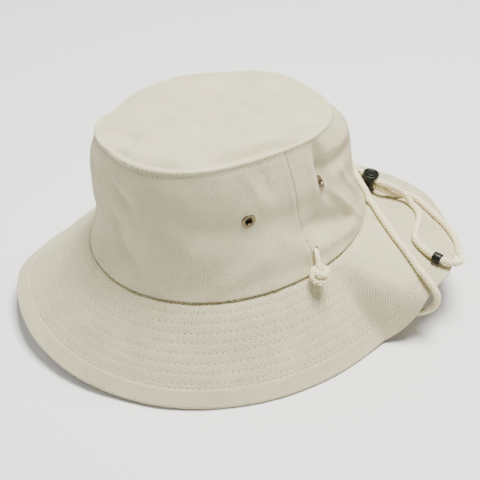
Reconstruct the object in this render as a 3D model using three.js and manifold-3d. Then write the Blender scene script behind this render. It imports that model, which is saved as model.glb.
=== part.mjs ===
// A soft cotton bush hat: a domed top panel, two wall panels, a drooping stitched brim, four
// eyelets, and a chin cord with a stop knot at each side, a sprung cord lock and a bead.
// Millimetres, +Z up. The hat rests on its brim on z = 0, its front towards -Y and the
// wearer's left side towards +X. Angles start at +X and run towards the back, +Y.
import * as THREE from 'three';
import { mergeVertices } from 'three/addons/utils/BufferGeometryUtils.js';
import Module from 'manifold-3d';

const wasm = await Module();
wasm.setup();

const DEG = Math.PI / 180;
const GAP = 0.3;

// Driving dimensions. The join is where the wall meets the brim, on the wall's outer face.
const JOIN = { halfWidth: 87.5, halfLength: 106, power: 2.035 };
const TOP_SEAM = {
  halfWidth: 60.5, halfLength: 83.8, power: 2.5,
  shiftX: -2.5, shiftY: -8, height: 85.5, riseX: 0.035, riseY: -0.093,
};
const WALL = { thickness: 1.8, rows: 8, columns: 48, seamAngle: 4 };
const DOME = { height: 6, power: 8, thickness: 1.8, columns: 70 };
const BRIM = { width: 72, thickness: 2.4, seat: 3, restSlope: 53, columns: 92 };
const CREASE = { angle: 21, spread: 14, lead: 8 };
const CORD_PULL = { angle: 27, spread: 5.5, depth: 5 };
const EYELET = { flange: 4.7, barrel: 2.75, hole: 2.1, back: 4.2, plate: 0.8 };
const EYELET_FRONT = { offset: 18.8, level: 0.565 };
const EYELET_BACK = { offset: 17, level: 0.62 };
const CORD = { diameter: 4.8, sides: 10, clearance: 3.6 };
const KNOT = { radius: 7, height: 6.2 };
const BEAD = { radius: 3.85, bore: 2.8, length: 6.4, straight: 4.6 };

// The cord lock: heights are above its base. Its two strands pass through one above the other.
const LOCK = {
  radius: 6.2, height: 13.5, bore: 4.95, floor: 1.2, button: 14.4, plunger: 4.6,
  slot: 5.5, lowStrand: 3.9, highStrand: 9.15, travel: 2, straight: 7,
};

// How far the brim droops below level, in degrees, by angle round the head.
const BRIM_SLOPES = [
  { angle: 0, slope: 53 },
  { angle: 10, slope: 53 },
  { angle: 16.5, slope: 52 },
  { angle: 27, slope: 18 },
  { angle: 36, slope: 12 },
  { angle: 50, slope: 17.5 },
  { angle: 60, slope: 21.5 },
  { angle: 80, slope: 27 },
  { angle: 100, slope: 35 },
  { angle: 120, slope: 37 },
  { angle: 135, slope: 45 },
  { angle: 150, slope: 53 },
  { angle: 185, slope: 53 },
  { angle: 200, slope: 45.5 },
  { angle: 210, slope: 45.5 },
  { angle: 220, slope: 42 },
  { angle: 240, slope: 32.5 },
  { angle: 260, slope: 37 },
  { angle: 280, slope: 45 },
  { angle: 295, slope: 50.5 },
  { angle: 315, slope: 52.5 },
  { angle: 325, slope: 53 },
];

// How far the soft wall stands out from a straight line between join and top seam: in a
// broad shoulder near the top and at the waist below it.
const WALL_SHAPE = [
  { angle: 0, shoulder: 0.6, waist: 0 },
  { angle: 22, shoulder: 1.5, waist: 0 },
  { angle: 45, shoulder: 6, waist: -0.5 },
  { angle: 65, shoulder: 8, waist: -1.5 },
  { angle: 95, shoulder: 7, waist: -1 },
  { angle: 135, shoulder: 4, waist: 0 },
  { angle: 180, shoulder: 2.5, waist: 0 },
  { angle: 235, shoulder: 4, waist: -1.6 },
  { angle: 270, shoulder: 2.5, waist: -1 },
  { angle: 310, shoulder: 1.2, waist: 0 },
];

// Where the hidden far side of the top seam leaves its even oval, outwards and upwards.
const SEAM_SHAPE = [
  { angle: 60, out: 0, up: 0 },
  { angle: 90, out: 1.2, up: 1 },
  { angle: 130, out: 1.5, up: 2 },
  { angle: 150, out: 1, up: 1.2 },
  { angle: 178, out: 4, up: 3 },
  { angle: 198, out: 1, up: 1 },
  { angle: 212, out: -2, up: -1.5 },
  { angle: 228, out: -0.7, up: -0.6 },
  { angle: 245, out: 0, up: 0 },
];

// Soft dents and swells of the wall: angle and height of each one's middle, how far it
// spreads (degrees, share of the height) and how far it moves the cloth outwards.
const WALL_DENTS = [
  { angle: 17, level: 0.3, spread: 9, rise: 0.22, depth: -3.2 },
  { angle: 31, level: 0.2, spread: 7, rise: 0.16, depth: 2.2 },
  { angle: 42, level: 0.45, spread: 8, rise: 0.2, depth: -3 },
  { angle: 284, level: 0.4, spread: 10, rise: 0.3, depth: -2.5 },
  { angle: 340, level: 0.45, spread: 16, rise: 0.3, depth: -1 },
];

// Dips of the top panel: angle, share of the way out to the seam, spread and depth.
const DOME_DENTS = [
  { angle: 350, reach: 0.82, spread: 30, rise: 0.14, depth: -3.4 },
  { angle: 262, reach: 0.8, spread: 16, rise: 0.14, depth: -2.4 },
];

// Where the cord lock stands on the brim and the bead lies on it.
const LOCK_PLACE = {
  base: new THREE.Vector3(34.8, 105.5, 58.2),
  axis: new THREE.Vector3(0.11, 0.06, 0.99).normalize(),
  strands: new THREE.Vector3(1, 0.2, 0),
};
const BEAD_PLACE = {
  middle: new THREE.Vector3(122, 93.4, 51),
  axis: new THREE.Vector3(0.96, 0.27, -0.06).normalize(),
};

const BASE = BRIM.width * Math.sin(BRIM.restSlope * DEG) + BRIM.thickness * Math.cos(BRIM.restSlope * DEG);

// Smooth periodic curve through a table's values, with no overshoot between rows.
function tableValue(rows, key, angle) {
  const turn = ((angle % 360) + 360) % 360;
  const count = rows.length;
  const past = rows.filter((entry) => entry.angle <= turn).length;
  const i = (past + count - 1) % count;
  const row = (k) => rows[(k + count) % count];
  const span = (k) => (row(k + 1).angle - row(k).angle + 360) % 360;
  const grade = (k) => (row(k + 1)[key] - row(k)[key]) / span(k);
  const bend = (k) => {
    const before = grade(k - 1);
    const after = grade(k);
    return before * after > 0 ? (2 * before * after) / (before + after) : 0;
  };
  const width = span(i);
  const t = ((turn - row(i).angle + 360) % 360) / width;
  const ease = t * t * (3 - 2 * t);
  const rise = t * (1 - t) * (1 - t) * width * bend(i) - t * t * (1 - t) * width * bend(i + 1);
  return row(i)[key] * (1 - ease) + row(i + 1)[key] * ease + rise;
}

// A rounded oval's point and outward direction at an angle.
function ovalPoint(shape, angle) {
  const c = Math.cos(angle * DEG);
  const s = Math.sin(angle * DEG);
  const x = shape.halfWidth * Math.sign(c) * Math.abs(c) ** (2 / shape.power);
  const y = shape.halfLength * Math.sign(s) * Math.abs(s) ** (2 / shape.power);
  return new THREE.Vector3(x, y, 0);
}

function ovalOutward(shape, angle) {
  const step = 0.05;
  const along = ovalPoint(shape, angle + step).sub(ovalPoint(shape, angle - step));
  return new THREE.Vector3(along.y, -along.x, 0).normalize();
}

// A point of the top panel's plane, which the soft crown lets lean: reach is 1 at the seam.
function topPoint(angle, reach) {
  const edge = ovalPoint(TOP_SEAM, angle);
  edge.addScaledVector(ovalOutward(TOP_SEAM, angle), tableValue(SEAM_SHAPE, 'out', angle)).multiplyScalar(reach);
  const lean = TOP_SEAM.riseX * edge.x + TOP_SEAM.riseY * edge.y;
  const z = BASE + TOP_SEAM.height + lean + tableValue(SEAM_SHAPE, 'up', angle) * reach ** 2;
  return new THREE.Vector3(edge.x + TOP_SEAM.shiftX, edge.y + TOP_SEAM.shiftY, z);
}

function turnBetween(a, b) {
  return ((a - b + 540) % 360) - 180;
}

function bump(offset, spread) {
  return Math.exp(-((offset / spread) ** 2));
}

// Outer face of the wall: angle round the head, level 0 at the join and 1 at the top seam.
function wallPoint(angle, level) {
  const foot = ovalPoint(JOIN, angle);
  foot.z = BASE;
  const point = foot.lerp(topPoint(angle, 1), level);
  const shoulder = tableValue(WALL_SHAPE, 'shoulder', angle) * bump(level - 0.82, 0.3);
  const waist = tableValue(WALL_SHAPE, 'waist', angle) * bump(level - 0.25, 0.2);
  const dents = WALL_DENTS.reduce((sum, dent) => sum + dent.depth
    * bump(turnBetween(angle, dent.angle), dent.spread) * bump(level - dent.level, dent.rise), 0);
  const fade = Math.min(1, level * 8, (1 - level) * 6);
  return point.addScaledVector(ovalOutward(JOIN, angle), (shoulder + waist + dents) * fade);
}

function wallOutward(angle, level) {
  const step = 0.02;
  const low = Math.max(0, level - step);
  const high = Math.min(1, level + step);
  const round = wallPoint(angle + 1, level).sub(wallPoint(angle - 1, level));
  const up = wallPoint(angle, high).sub(wallPoint(angle, low));
  return round.cross(up).normalize();
}

// Upper face of the top panel: reach is 0 in the middle and 1 at the seam.
function domePoint(angle, reach) {
  const dents = DOME_DENTS.reduce((sum, dent) => sum + dent.depth
    * bump(turnBetween(angle, dent.angle), dent.spread) * bump(reach - dent.reach, dent.rise), 0);
  const lift = DOME.height * (1 - reach ** DOME.power) + dents;
  const point = topPoint(angle, reach);
  point.z += Math.max(0, lift);
  return point;
}

// The brim's section: distance out from the join along the cloth, and depth below its face.
function brimPoint(angle, distance, depth) {
  const inwards = 1 - Math.max(0, distance) / BRIM.width;
  const lead = CREASE.lead * bump(turnBetween(angle, CREASE.angle), CREASE.spread) * inwards;
  const slope = tableValue(BRIM_SLOPES, 'slope', angle + lead) * DEG;
  const tilt = distance > 0 ? slope : 0;
  const pull = CORD_PULL.depth * bump(turnBetween(angle, CORD_PULL.angle), CORD_PULL.spread) * (1 - inwards) ** 3;
  const lean = distance === 0 ? Math.tan(slope / 2) * depth : Math.sin(tilt) * depth;
  const drop = distance === 0 ? depth : Math.cos(tilt) * depth;
  const out = distance * Math.cos(tilt) - lean - pull;
  const point = ovalPoint(JOIN, angle).addScaledVector(ovalOutward(JOIN, angle), out);
  point.z = BASE - Math.max(0, distance) * Math.sin(tilt) - drop;
  return point;
}

// A closed mesh from points and triangles, with doubled points merged and its faces outwards.
function solidGeometry(points, triangles) {
  const raw = new THREE.BufferGeometry();
  raw.setAttribute('position', new THREE.Float32BufferAttribute(points.flatMap((p) => [p.x, p.y, p.z]), 3));
  raw.setIndex(triangles.flat());
  const merged = mergeVertices(raw, 1e-4);
  const place = merged.getAttribute('position');
  const corner = (i) => new THREE.Vector3().fromBufferAttribute(place, i);
  const kept = [];
  let volume = 0;
  for (let i = 0; i < merged.index.count; i += 3) {
    const face = [0, 1, 2].map((k) => merged.index.getX(i + k));
    if (new Set(face).size < 3) continue;
    kept.push(face);
    volume += corner(face[0]).dot(corner(face[1]).cross(corner(face[2])));
  }
  merged.setIndex(kept.flatMap(([a, b, c]) => (volume > 0 ? [a, b, c] : [a, c, b])));
  return merged;
}

// Lofts sections of equal length. An open loft is closed by strips across its first and last section.
function loft(sections, closed) {
  const size = sections[0].length;
  const triangles = [];
  const quad = (a, b, c, d) => triangles.push([a, b, c], [a, c, d]);
  const last = closed ? sections.length : sections.length - 1;
  for (let i = 0; i < last; i += 1) {
    const next = (i + 1) % sections.length;
    for (let j = 0; j < size; j += 1) {
      const k = (j + 1) % size;
      quad(i * size + j, i * size + k, next * size + k, next * size + j);
    }
  }
  if (!closed) {
    const end = (sections.length - 1) * size;
    for (let j = 0; j + 1 < size / 2; j += 1) {
      quad(j, size - 1 - j, size - 2 - j, j + 1);
      quad(end + j, end + j + 1, end + size - 2 - j, end + size - 1 - j);
    }
  }
  return solidGeometry(sections.flat(), triangles);
}

function range(count, from, to) {
  return Array.from({ length: count + 1 }, (_, i) => from + ((to - from) * i) / count);
}

// Boolean cut of a closed mesh by others.
function toManifold(geometry) {
  const bare = new THREE.BufferGeometry();
  bare.setAttribute('position', geometry.getAttribute('position'));
  bare.setIndex(geometry.index);
  const merged = mergeVertices(bare, 1e-4);
  const mesh = new wasm.Mesh({
    numProp: 3,
    vertProperties: new Float32Array(merged.getAttribute('position').array),
    triVerts: new Uint32Array(merged.index.array),
  });
  return new wasm.Manifold(mesh);
}

function cutAway(geometry, cutters) {
  let body = toManifold(geometry);
  for (const cutter of cutters) body = body.subtract(toManifold(cutter));
  const mesh = body.getMesh();
  const result = new THREE.BufferGeometry();
  result.setAttribute('position', new THREE.BufferAttribute(mesh.vertProperties, 3));
  result.setIndex(new THREE.BufferAttribute(mesh.triVerts, 1));
  return result;
}

// Turns a geometry made about +Y so that +Y points along a direction, and moves it to a point.
function aim(geometry, point, direction) {
  const up = new THREE.Vector3(0, 1, 0);
  geometry.applyQuaternion(new THREE.Quaternion().setFromUnitVectors(up, direction.clone().normalize()));
  return geometry.translate(point.x, point.y, point.z);
}

function eyeletPlace(angle, level) {
  return { point: wallPoint(angle, level), out: wallOutward(angle, level) };
}

// Left and right eyelets sit in mirrored pairs either side of the side seams.
const EYELETS = [
  { name: 'eyelet_left_front', angle: WALL.seamAngle - EYELET_FRONT.offset, level: EYELET_FRONT.level },
  { name: 'eyelet_left_back', angle: WALL.seamAngle + EYELET_BACK.offset, level: EYELET_BACK.level },
  { name: 'eyelet_right_back', angle: 180 - WALL.seamAngle - EYELET_BACK.offset, level: EYELET_BACK.level },
  { name: 'eyelet_right_front', angle: 180 - WALL.seamAngle + EYELET_FRONT.offset, level: EYELET_FRONT.level },
];

function eyeletHole(angle, level) {
  const { point, out } = eyeletPlace(angle, level);
  const radius = EYELET.barrel + GAP + 0.1;
  return aim(new THREE.CylinderGeometry(radius, radius, 16, 12), point, out);
}

function wallPanel(from, to) {
  const levels = range(WALL.rows, 0, 1);
  const sections = range(WALL.columns, from, to).map((angle) => {
    const outer = levels.map((level) => wallPoint(angle, level));
    const inner = levels.map((level) => wallPoint(angle, level)
      .addScaledVector(wallOutward(angle, level), -WALL.thickness)).reverse();
    outer[0].z += GAP;
    inner[inner.length - 1].z = outer[0].z;
    outer[outer.length - 1].z -= DOME.thickness + GAP;
    inner[0].z = outer[outer.length - 1].z;
    return [...outer, ...inner];
  });
  const holes = EYELETS.filter(({ angle }) => {
    const turn = turnBetween(angle, (from + to) / 2);
    return Math.abs(turn) < (to - from) / 2;
  }).map(({ angle, level }) => eyeletHole(angle, level));
  return cutAway(loft(sections, false), [...holes, ...CORDS.map(({ points }) => cordHole(points))]);
}

function topPanel() {
  const reaches = [0, 0.3, 0.55, 0.74, 0.86, 0.94, 1];
  const sections = range(DOME.columns - 1, 0, 360 - 360 / DOME.columns).map((angle) => {
    const upper = reaches.map((reach) => domePoint(angle, reach));
    const lower = upper.map((p) => p.clone().setZ(p.z - DOME.thickness)).reverse();
    return [...upper, ...lower];
  });
  return loft(sections, true);
}

function brimRing() {
  const distances = [-BRIM.seat, 0, 14, 29, 43, 58, BRIM.width];
  const sections = range(BRIM.columns - 1, 0, 360 - 360 / BRIM.columns).map((angle) => {
    const upper = distances.map((distance) => brimPoint(angle, distance, 0));
    const lower = distances.map((distance) => brimPoint(angle, distance, BRIM.thickness)).reverse();
    return [...upper, ...lower];
  });
  return loft(sections, true);
}

function eyelet(angle, level) {
  const { point, out } = eyeletPlace(angle, level);
  const face = GAP + 0.15;
  const back = -WALL.thickness - face;
  const profile = [
    [EYELET.hole, back - EYELET.plate],
    [EYELET.back, back - EYELET.plate],
    [EYELET.back, back],
    [EYELET.barrel, back],
    [EYELET.barrel, face],
    [EYELET.flange, face],
    [EYELET.flange - 0.7, face + EYELET.plate],
    [EYELET.hole, face + EYELET.plate * 0.4],
  ].map(([x, y]) => new THREE.Vector2(x, y));
  const ring = new THREE.LatheGeometry([...profile, profile[0].clone()], 12);
  return aim(ring, point, out);
}

// Points on the straight stretch of cord in the lock or the bead, by distance along it.
function lockPoint(height, along) {
  const { base, axis, strands } = LOCK_PLACE;
  const across = strands.clone().addScaledVector(axis, -strands.dot(axis)).normalize();
  return base.clone().addScaledVector(axis, height).addScaledVector(across, along);
}

function beadPoint(along) {
  return BEAD_PLACE.middle.clone().addScaledVector(BEAD_PLACE.axis, along);
}

// The chin cord's two halves. Each comes out of its stop knot, goes in through the wall, down
// inside the crown, under the brim and round its edge, and through the lock to the bead.
const LEFT_ROUTE = [
  [91.3, 9, 66.5],
  [88, 10.7, 69.8],
  [83, 13.1, 72.4],
  [75.5, 15, 70],
  [71.6, 15.6, 59],
  [69.5, 18, 17],
  [79, 27, 4],
  [97, 47, 2.8],
  [113, 60, 6],
  [127, 68.5, 15.5],
  [137, 74, 22.5],
  [141.2, 76.3, 30],
  [141.2, 76.4, 38.5],
  [128, 75.2, 48.2],
  [98.3, 80.2, 55.5],
  [64, 89.6, 58.3],
  [46.3, 94.3, 61],
  [33.2, 97.4, 68],
  [20, 102.6, 71.5],
  [6, 107, 69.5],
  [-8, 110, 64.5],
  [-21, 110.5, 60.5],
  [-30, 113, 57.8],
  [-34.5, 120, 53.5],
  [-29, 127.5, 49.5],
  [-17, 124.4, 51.8],
  [-5, 117.8, 57.8],
  [6, 113.5, 62],
  [16.5, 107.8, 65.4],
  lockPoint(LOCK.highStrand, -LOCK.straight),
  lockPoint(LOCK.highStrand, LOCK.straight),
  [47.2, 115.6, 61.7],
  [53, 126, 52.5],
  [61, 130, 45.9],
  [75, 122.5, 46.4],
  [88.3, 105.4, 50.1],
  [98.5, 94.8, 52],
  [109, 92, 51.9],
  beadPoint(-BEAD.straight),
  beadPoint(-GAP / 2),
];

const RIGHT_ROUTE = [
  [-92.2, 9, 66.5],
  [-89, 10.7, 69.8],
  [-84.2, 13.1, 72.4],
  [-76.8, 15, 70],
  [-72.8, 15.8, 59],
  [-68.5, 19, 18],
  [-68, 32, 4.5],
  [-66, 60, 2.8],
  [-62, 100, 2.8],
  [-60, 132, 3],
  [-62.5, 150, 5.5],
  [-64.5, 157, 13],
  [-61, 155, 21],
  [-50, 148, 27.5],
  [-32, 141, 41],
  [-18.5, 133.3, 46],
  [-6.5, 123.8, 52.6],
  [6, 116.6, 56.5],
  [16.5, 108.6, 59.8],
  lockPoint(LOCK.lowStrand, -LOCK.straight),
  lockPoint(LOCK.lowStrand, LOCK.straight),
  [46.2, 114.6, 56],
  [47, 124.5, 50.3],
  [46.5, 133, 46.2],
  [51, 140, 42.1],
  [68.7, 140.7, 39.6],
  [92.2, 135.1, 39.5],
  [111.3, 126.2, 41.4],
  [123, 113.8, 44.5],
  [128.5, 102.5, 48],
  beadPoint(BEAD.straight),
  beadPoint(GAP / 2),
];

const CORDS = [
  { name: 'chin_cord_left', knot: 'knot_left', points: LEFT_ROUTE.map(toVector) },
  { name: 'chin_cord_right', knot: 'knot_right', points: RIGHT_ROUTE.map(toVector) },
];

function toVector(point) {
  return point.isVector3 ? point : new THREE.Vector3(...point);
}

// A smooth curve that an extrusion follows with one step from each chosen point to the next.
class CordRoute extends THREE.CatmullRomCurve3 {
  getPointAt(u, target) {
    return this.getPoint(u, target);
  }

  getTangentAt(u, target) {
    return this.getTangent(u, target);
  }
}

function cordTube(points) {
  const rim = range(CORD.sides - 1, 0, 2 * Math.PI * (1 - 1 / CORD.sides));
  const corners = rim.map((turn) => new THREE.Vector2(Math.cos(turn), Math.sin(turn)).multiplyScalar(CORD.diameter / 2));
  const options = { steps: points.length - 1, bevelEnabled: false, extrudePath: new CordRoute(points) };
  const tube = new THREE.ExtrudeGeometry(new THREE.Shape(corners), options);
  tube.deleteAttribute('normal');
  tube.deleteAttribute('uv');
  return mergeVertices(tube, 1e-4);
}

// The cord goes through the wall between its second and third points.
function cordHole(points) {
  const through = points[3].clone().sub(points[1]);
  return aim(new THREE.CylinderGeometry(CORD.clearance, CORD.clearance, 16, 14), points[2], through);
}

// A stop knot sits just off the cord's end, in line with its first stretch.
function knotBall(points) {
  const out = points[0].clone().sub(points[1]).normalize();
  const ball = new THREE.SphereGeometry(KNOT.radius, 12, 8);
  ball.scale(1, KNOT.height / KNOT.radius, 1);
  ball.deleteAttribute('normal');
  ball.deleteAttribute('uv');
  const middle = points[0].clone().addScaledVector(out, KNOT.height + GAP);
  return aim(mergeVertices(ball, 1e-4), middle, out);
}

function turned(profile, sides) {
  const points = profile.map(([x, y]) => new THREE.Vector2(x, y));
  const solid = new THREE.LatheGeometry(points, sides);
  solid.deleteAttribute('normal');
  solid.deleteAttribute('uv');
  return mergeVertices(solid, 1e-4);
}

// Moves a shape made with the lock's base at the origin, its axis along +Y and its strands along +X.
function placeLock(geometry) {
  const axis = LOCK_PLACE.axis;
  const across = lockPoint(0, 1).sub(LOCK_PLACE.base);
  const turn = new THREE.Matrix4().makeBasis(across, axis, across.clone().cross(axis));
  return geometry.applyMatrix4(turn.setPosition(LOCK_PLACE.base));
}

function lockBarrel() {
  const { radius, height, bore, floor, slot, lowStrand, highStrand } = LOCK;
  const cup = turned([
    [0, 0],
    [radius - 0.9, 0],
    [radius, 0.9],
    [radius, height - 0.9],
    [radius - 0.7, height],
    [bore, height],
    [bore, floor],
    [0, floor],
  ], 20);
  const hole = new THREE.Shape();
  hole.absarc(0, highStrand, slot / 2, 0, Math.PI, false);
  hole.absarc(0, lowStrand, slot / 2, Math.PI, 2 * Math.PI, false);
  const cutter = new THREE.ExtrudeGeometry(hole, { depth: 4 * radius, bevelEnabled: false, curveSegments: 6 });
  cutter.translate(0, 0, -2 * radius).rotateY(Math.PI / 2);
  cutter.deleteAttribute('normal');
  cutter.deleteAttribute('uv');
  return placeLock(cutAway(cup, [mergeVertices(cutter, 1e-4)]));
}

// A round button with two legs that straddle the strands.
function lockPlunger() {
  const { button, plunger, floor, slot, highStrand, travel } = LOCK;
  const foot = floor + travel + GAP;
  const roof = highStrand + CORD.diameter / 2 + travel + GAP;
  const body = turned([
    [0, foot],
    [plunger, foot],
    [plunger, button - 0.5],
    [plunger - 0.5, button],
    [plunger - 1.3, button],
    [plunger - 2, button - 0.4],
    [0, button - 0.6],
  ], 20);
  const gap = new THREE.BoxGeometry(4 * plunger, 2 * (roof - foot), slot).translate(0, foot, 0);
  gap.deleteAttribute('normal');
  gap.deleteAttribute('uv');
  return placeLock(cutAway(body, [mergeVertices(gap, 1e-4)]));
}

function bead() {
  const { radius, bore, length } = BEAD;
  const half = length / 2;
  const ring = turned([
    [bore, -half],
    [radius - 0.5, -half],
    [radius, 0.6 - half],
    [radius, half - 0.6],
    [radius - 0.5, half],
    [bore, half],
    [bore, -half],
  ], 16);
  return aim(ring, BEAD_PLACE.middle, BEAD_PLACE.axis);
}

const FINISHES = {
  cloth: new THREE.MeshStandardMaterial({ color: 0xc9c6b4, roughness: 0.95, metalness: 0 }),
  cord: new THREE.MeshStandardMaterial({ color: 0xf1e9d6, roughness: 0.9, metalness: 0 }),
  brass: new THREE.MeshStandardMaterial({ color: 0x6f6145, roughness: 0.4, metalness: 0.9 }),
  plastic: new THREE.MeshStandardMaterial({ color: 0x16180f, roughness: 0.3, metalness: 0 }),
};

const hat = new THREE.Group();

function addPart(name, geometry, finish) {
  const mesh = new THREE.Mesh(geometry, finish);
  mesh.name = name;
  hat.add(mesh);
  return mesh;
}

const seamGap = 0.12;
addPart('crown_top', topPanel(), FINISHES.cloth);
addPart('crown_back', wallPanel(WALL.seamAngle + seamGap, 180 - WALL.seamAngle - seamGap), FINISHES.cloth);
addPart('crown_front', wallPanel(180 - WALL.seamAngle + seamGap, 360 + WALL.seamAngle - seamGap), FINISHES.cloth);
const brim = addPart('brim', brimRing(), FINISHES.cloth);
for (const { name, angle, level } of EYELETS) addPart(name, eyelet(angle, level), FINISHES.brass);
for (const { name, knot, points } of CORDS) {
  addPart(name, cordTube(points), FINISHES.cord);
  addPart(knot, knotBall(points), FINISHES.cord);
}
addPart('toggle_barrel', lockBarrel(), FINISHES.plastic);
addPart('toggle_plunger', lockPlunger(), FINISHES.plastic);
addPart('bead', bead(), FINISHES.plastic);

// The origin is on the floor under the middle of the brim's box.
const middle = new THREE.Box3().setFromObject(brim).getCenter(new THREE.Vector3());
hat.position.set(-middle.x, -middle.y, 0);

export default hat;
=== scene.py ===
"""A soft cotton bush hat with a stitched brim and a braided chin cord, over its CAD model."""

import logging
import math
from dataclasses import dataclass, field
from typing import Sequence

import bmesh
import bpy
import numpy as np
from mathutils import Matrix, Vector, noise
from mathutils.bvhtree import BVHTree


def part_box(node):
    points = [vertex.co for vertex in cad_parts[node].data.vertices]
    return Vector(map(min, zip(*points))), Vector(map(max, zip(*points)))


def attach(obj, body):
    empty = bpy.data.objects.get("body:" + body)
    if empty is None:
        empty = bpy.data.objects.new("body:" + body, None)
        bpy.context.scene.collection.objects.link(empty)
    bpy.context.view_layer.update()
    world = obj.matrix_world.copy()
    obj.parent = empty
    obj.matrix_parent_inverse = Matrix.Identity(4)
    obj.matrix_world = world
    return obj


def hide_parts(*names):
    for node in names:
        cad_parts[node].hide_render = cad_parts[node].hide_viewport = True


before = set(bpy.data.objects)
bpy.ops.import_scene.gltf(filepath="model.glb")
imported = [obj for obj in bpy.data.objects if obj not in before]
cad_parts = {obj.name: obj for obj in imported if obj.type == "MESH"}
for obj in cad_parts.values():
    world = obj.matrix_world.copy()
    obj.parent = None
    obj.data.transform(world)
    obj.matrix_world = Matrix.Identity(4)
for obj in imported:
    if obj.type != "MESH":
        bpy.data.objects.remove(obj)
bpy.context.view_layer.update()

LOG = logging.getLogger("bush_hat")
MM = 0.001
BODY = "hat"
PLUNGER_BODY = "plunger"
# Blender's wave texture shows this many bands for each unit of its scale.
WAVE_BANDS = 20 / (2 * math.pi)
# The length of one degree of the wall, near enough for its small dents and folds.
DEGREE = 1.6 * MM
# Edges that bend more than this stay sharp on a cut piece.
SHARP_ANGLE = math.radians(38)

Thing = bpy.types.Object
Mesh = bpy.types.Mesh
Material = bpy.types.Material
Socket = bpy.types.NodeSocket
Triple = tuple[float, float, float]
Hole = tuple[Vector, Vector, float]


class NodeTree:
    """A node tree that short calls fill."""

    def __init__(self, tree: bpy.types.NodeTree) -> None:
        """Takes up a tree."""
        self.tree = tree

    def feed(self, socket: Socket, value: object) -> None:
        """Links an input to a socket, or sets it to a value.

        Args:
            socket: The input.
            value: A socket or a value.
        """
        if isinstance(value, bpy.types.NodeSocket):
            self.tree.links.new(value, socket)
        else:
            socket.default_value = value

    def add(self, kind: str, inputs: dict, out: str | int = 0, **settings: object) -> Socket:
        """Adds a node.

        Args:
            kind: The node's type.
            inputs: A value or a socket for each input, by its name or number.
            out: Name or number of the output that is wanted.
            **settings: The node's own settings.

        Returns:
            That output.
        """
        node = self.tree.nodes.new(kind)
        for name, value in settings.items():
            setattr(node, name, value)
        for name, value in inputs.items():
            self.feed(node.inputs[name], value)
        return node.outputs[out]


class Paint(NodeTree):
    """A material and the steps that its finishes share."""

    def __init__(self, name: str) -> None:
        """Starts a node material.

        Args:
            name: The material's name.
        """
        self.material = bpy.data.materials.new(name)
        self.material.use_nodes = True
        super().__init__(self.material.node_tree)
        self.place = self.add("ShaderNodeTexCoord", {}, "Object")

    def noise(self, place: Socket, scale_and_detail: tuple[float, float]) -> Socket:
        """Adds noise with a scale, in turns a metre, and a detail.

        Args:
            place: Where it is read.
            scale_and_detail: Its scale and its detail.

        Returns:
            The noise, from 0 to 1.
        """
        scale, detail = scale_and_detail
        inputs = {"Vector": place, "Scale": scale, "Detail": detail}
        return self.add("ShaderNodeTexNoise", inputs, "Fac")

    def fit(self, value: Socket, spread: tuple[float, float], low: float = 0,
            high: float = 1) -> Socket:
        """Stretches a value's spread to run from low to high.

        Args:
            value: The value.
            spread: The value's own low and high end.
            low: Where the low end goes.
            high: Where the high end goes.

        Returns:
            The stretched value, which goes no farther than those ends.
        """
        inputs = {"Value": value, "From Min": spread[0], "From Max": spread[1],
                  "To Min": low, "To Max": high}
        return self.add("ShaderNodeMapRange", inputs, "Result")

    def add_share(self, value: Socket, share: float, base: Socket) -> Socket:
        """Adds a share of one value to another."""
        return self.add("ShaderNodeMath", {0: value, 1: share, 2: base}, operation="MULTIPLY_ADD")

    def blend(self, factor: Socket | float, a: object, b: object, mode: str = "MIX") -> Socket:
        """Blends two colours, each a socket or a red, green and blue.

        Args:
            factor: The share of the second colour.
            a: The first colour.
            b: The second colour.
            mode: The way they are blended.

        Returns:
            The blended colour.
        """
        first, second = ((*c, 1) if isinstance(c, tuple) else c for c in (a, b))
        inputs = {"Factor": factor, "A": first, "B": second}
        return self.add("ShaderNodeMix", inputs, "Result", data_type="RGBA", blend_type=mode)

    def shade(self, values: dict[str, object], height: Socket | None = None,
              bump: tuple[float, float] = (0, 0)) -> Material:
        """Feeds the shader.

        Args:
            values: Values or sockets by the shader's input.
            height: Height of the bump, or None.
            bump: Strength of the bump, and its distance in metres.

        Returns:
            The material.
        """
        if height is not None:
            inputs = {"Strength": bump[0], "Distance": bump[1], "Height": height}
            values = values | {"Normal": self.add("ShaderNodeBump", inputs, "Normal")}
        for name, value in values.items():
            self.feed(self.tree.nodes["Principled BSDF"].inputs[name], value)
        return self.material


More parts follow.
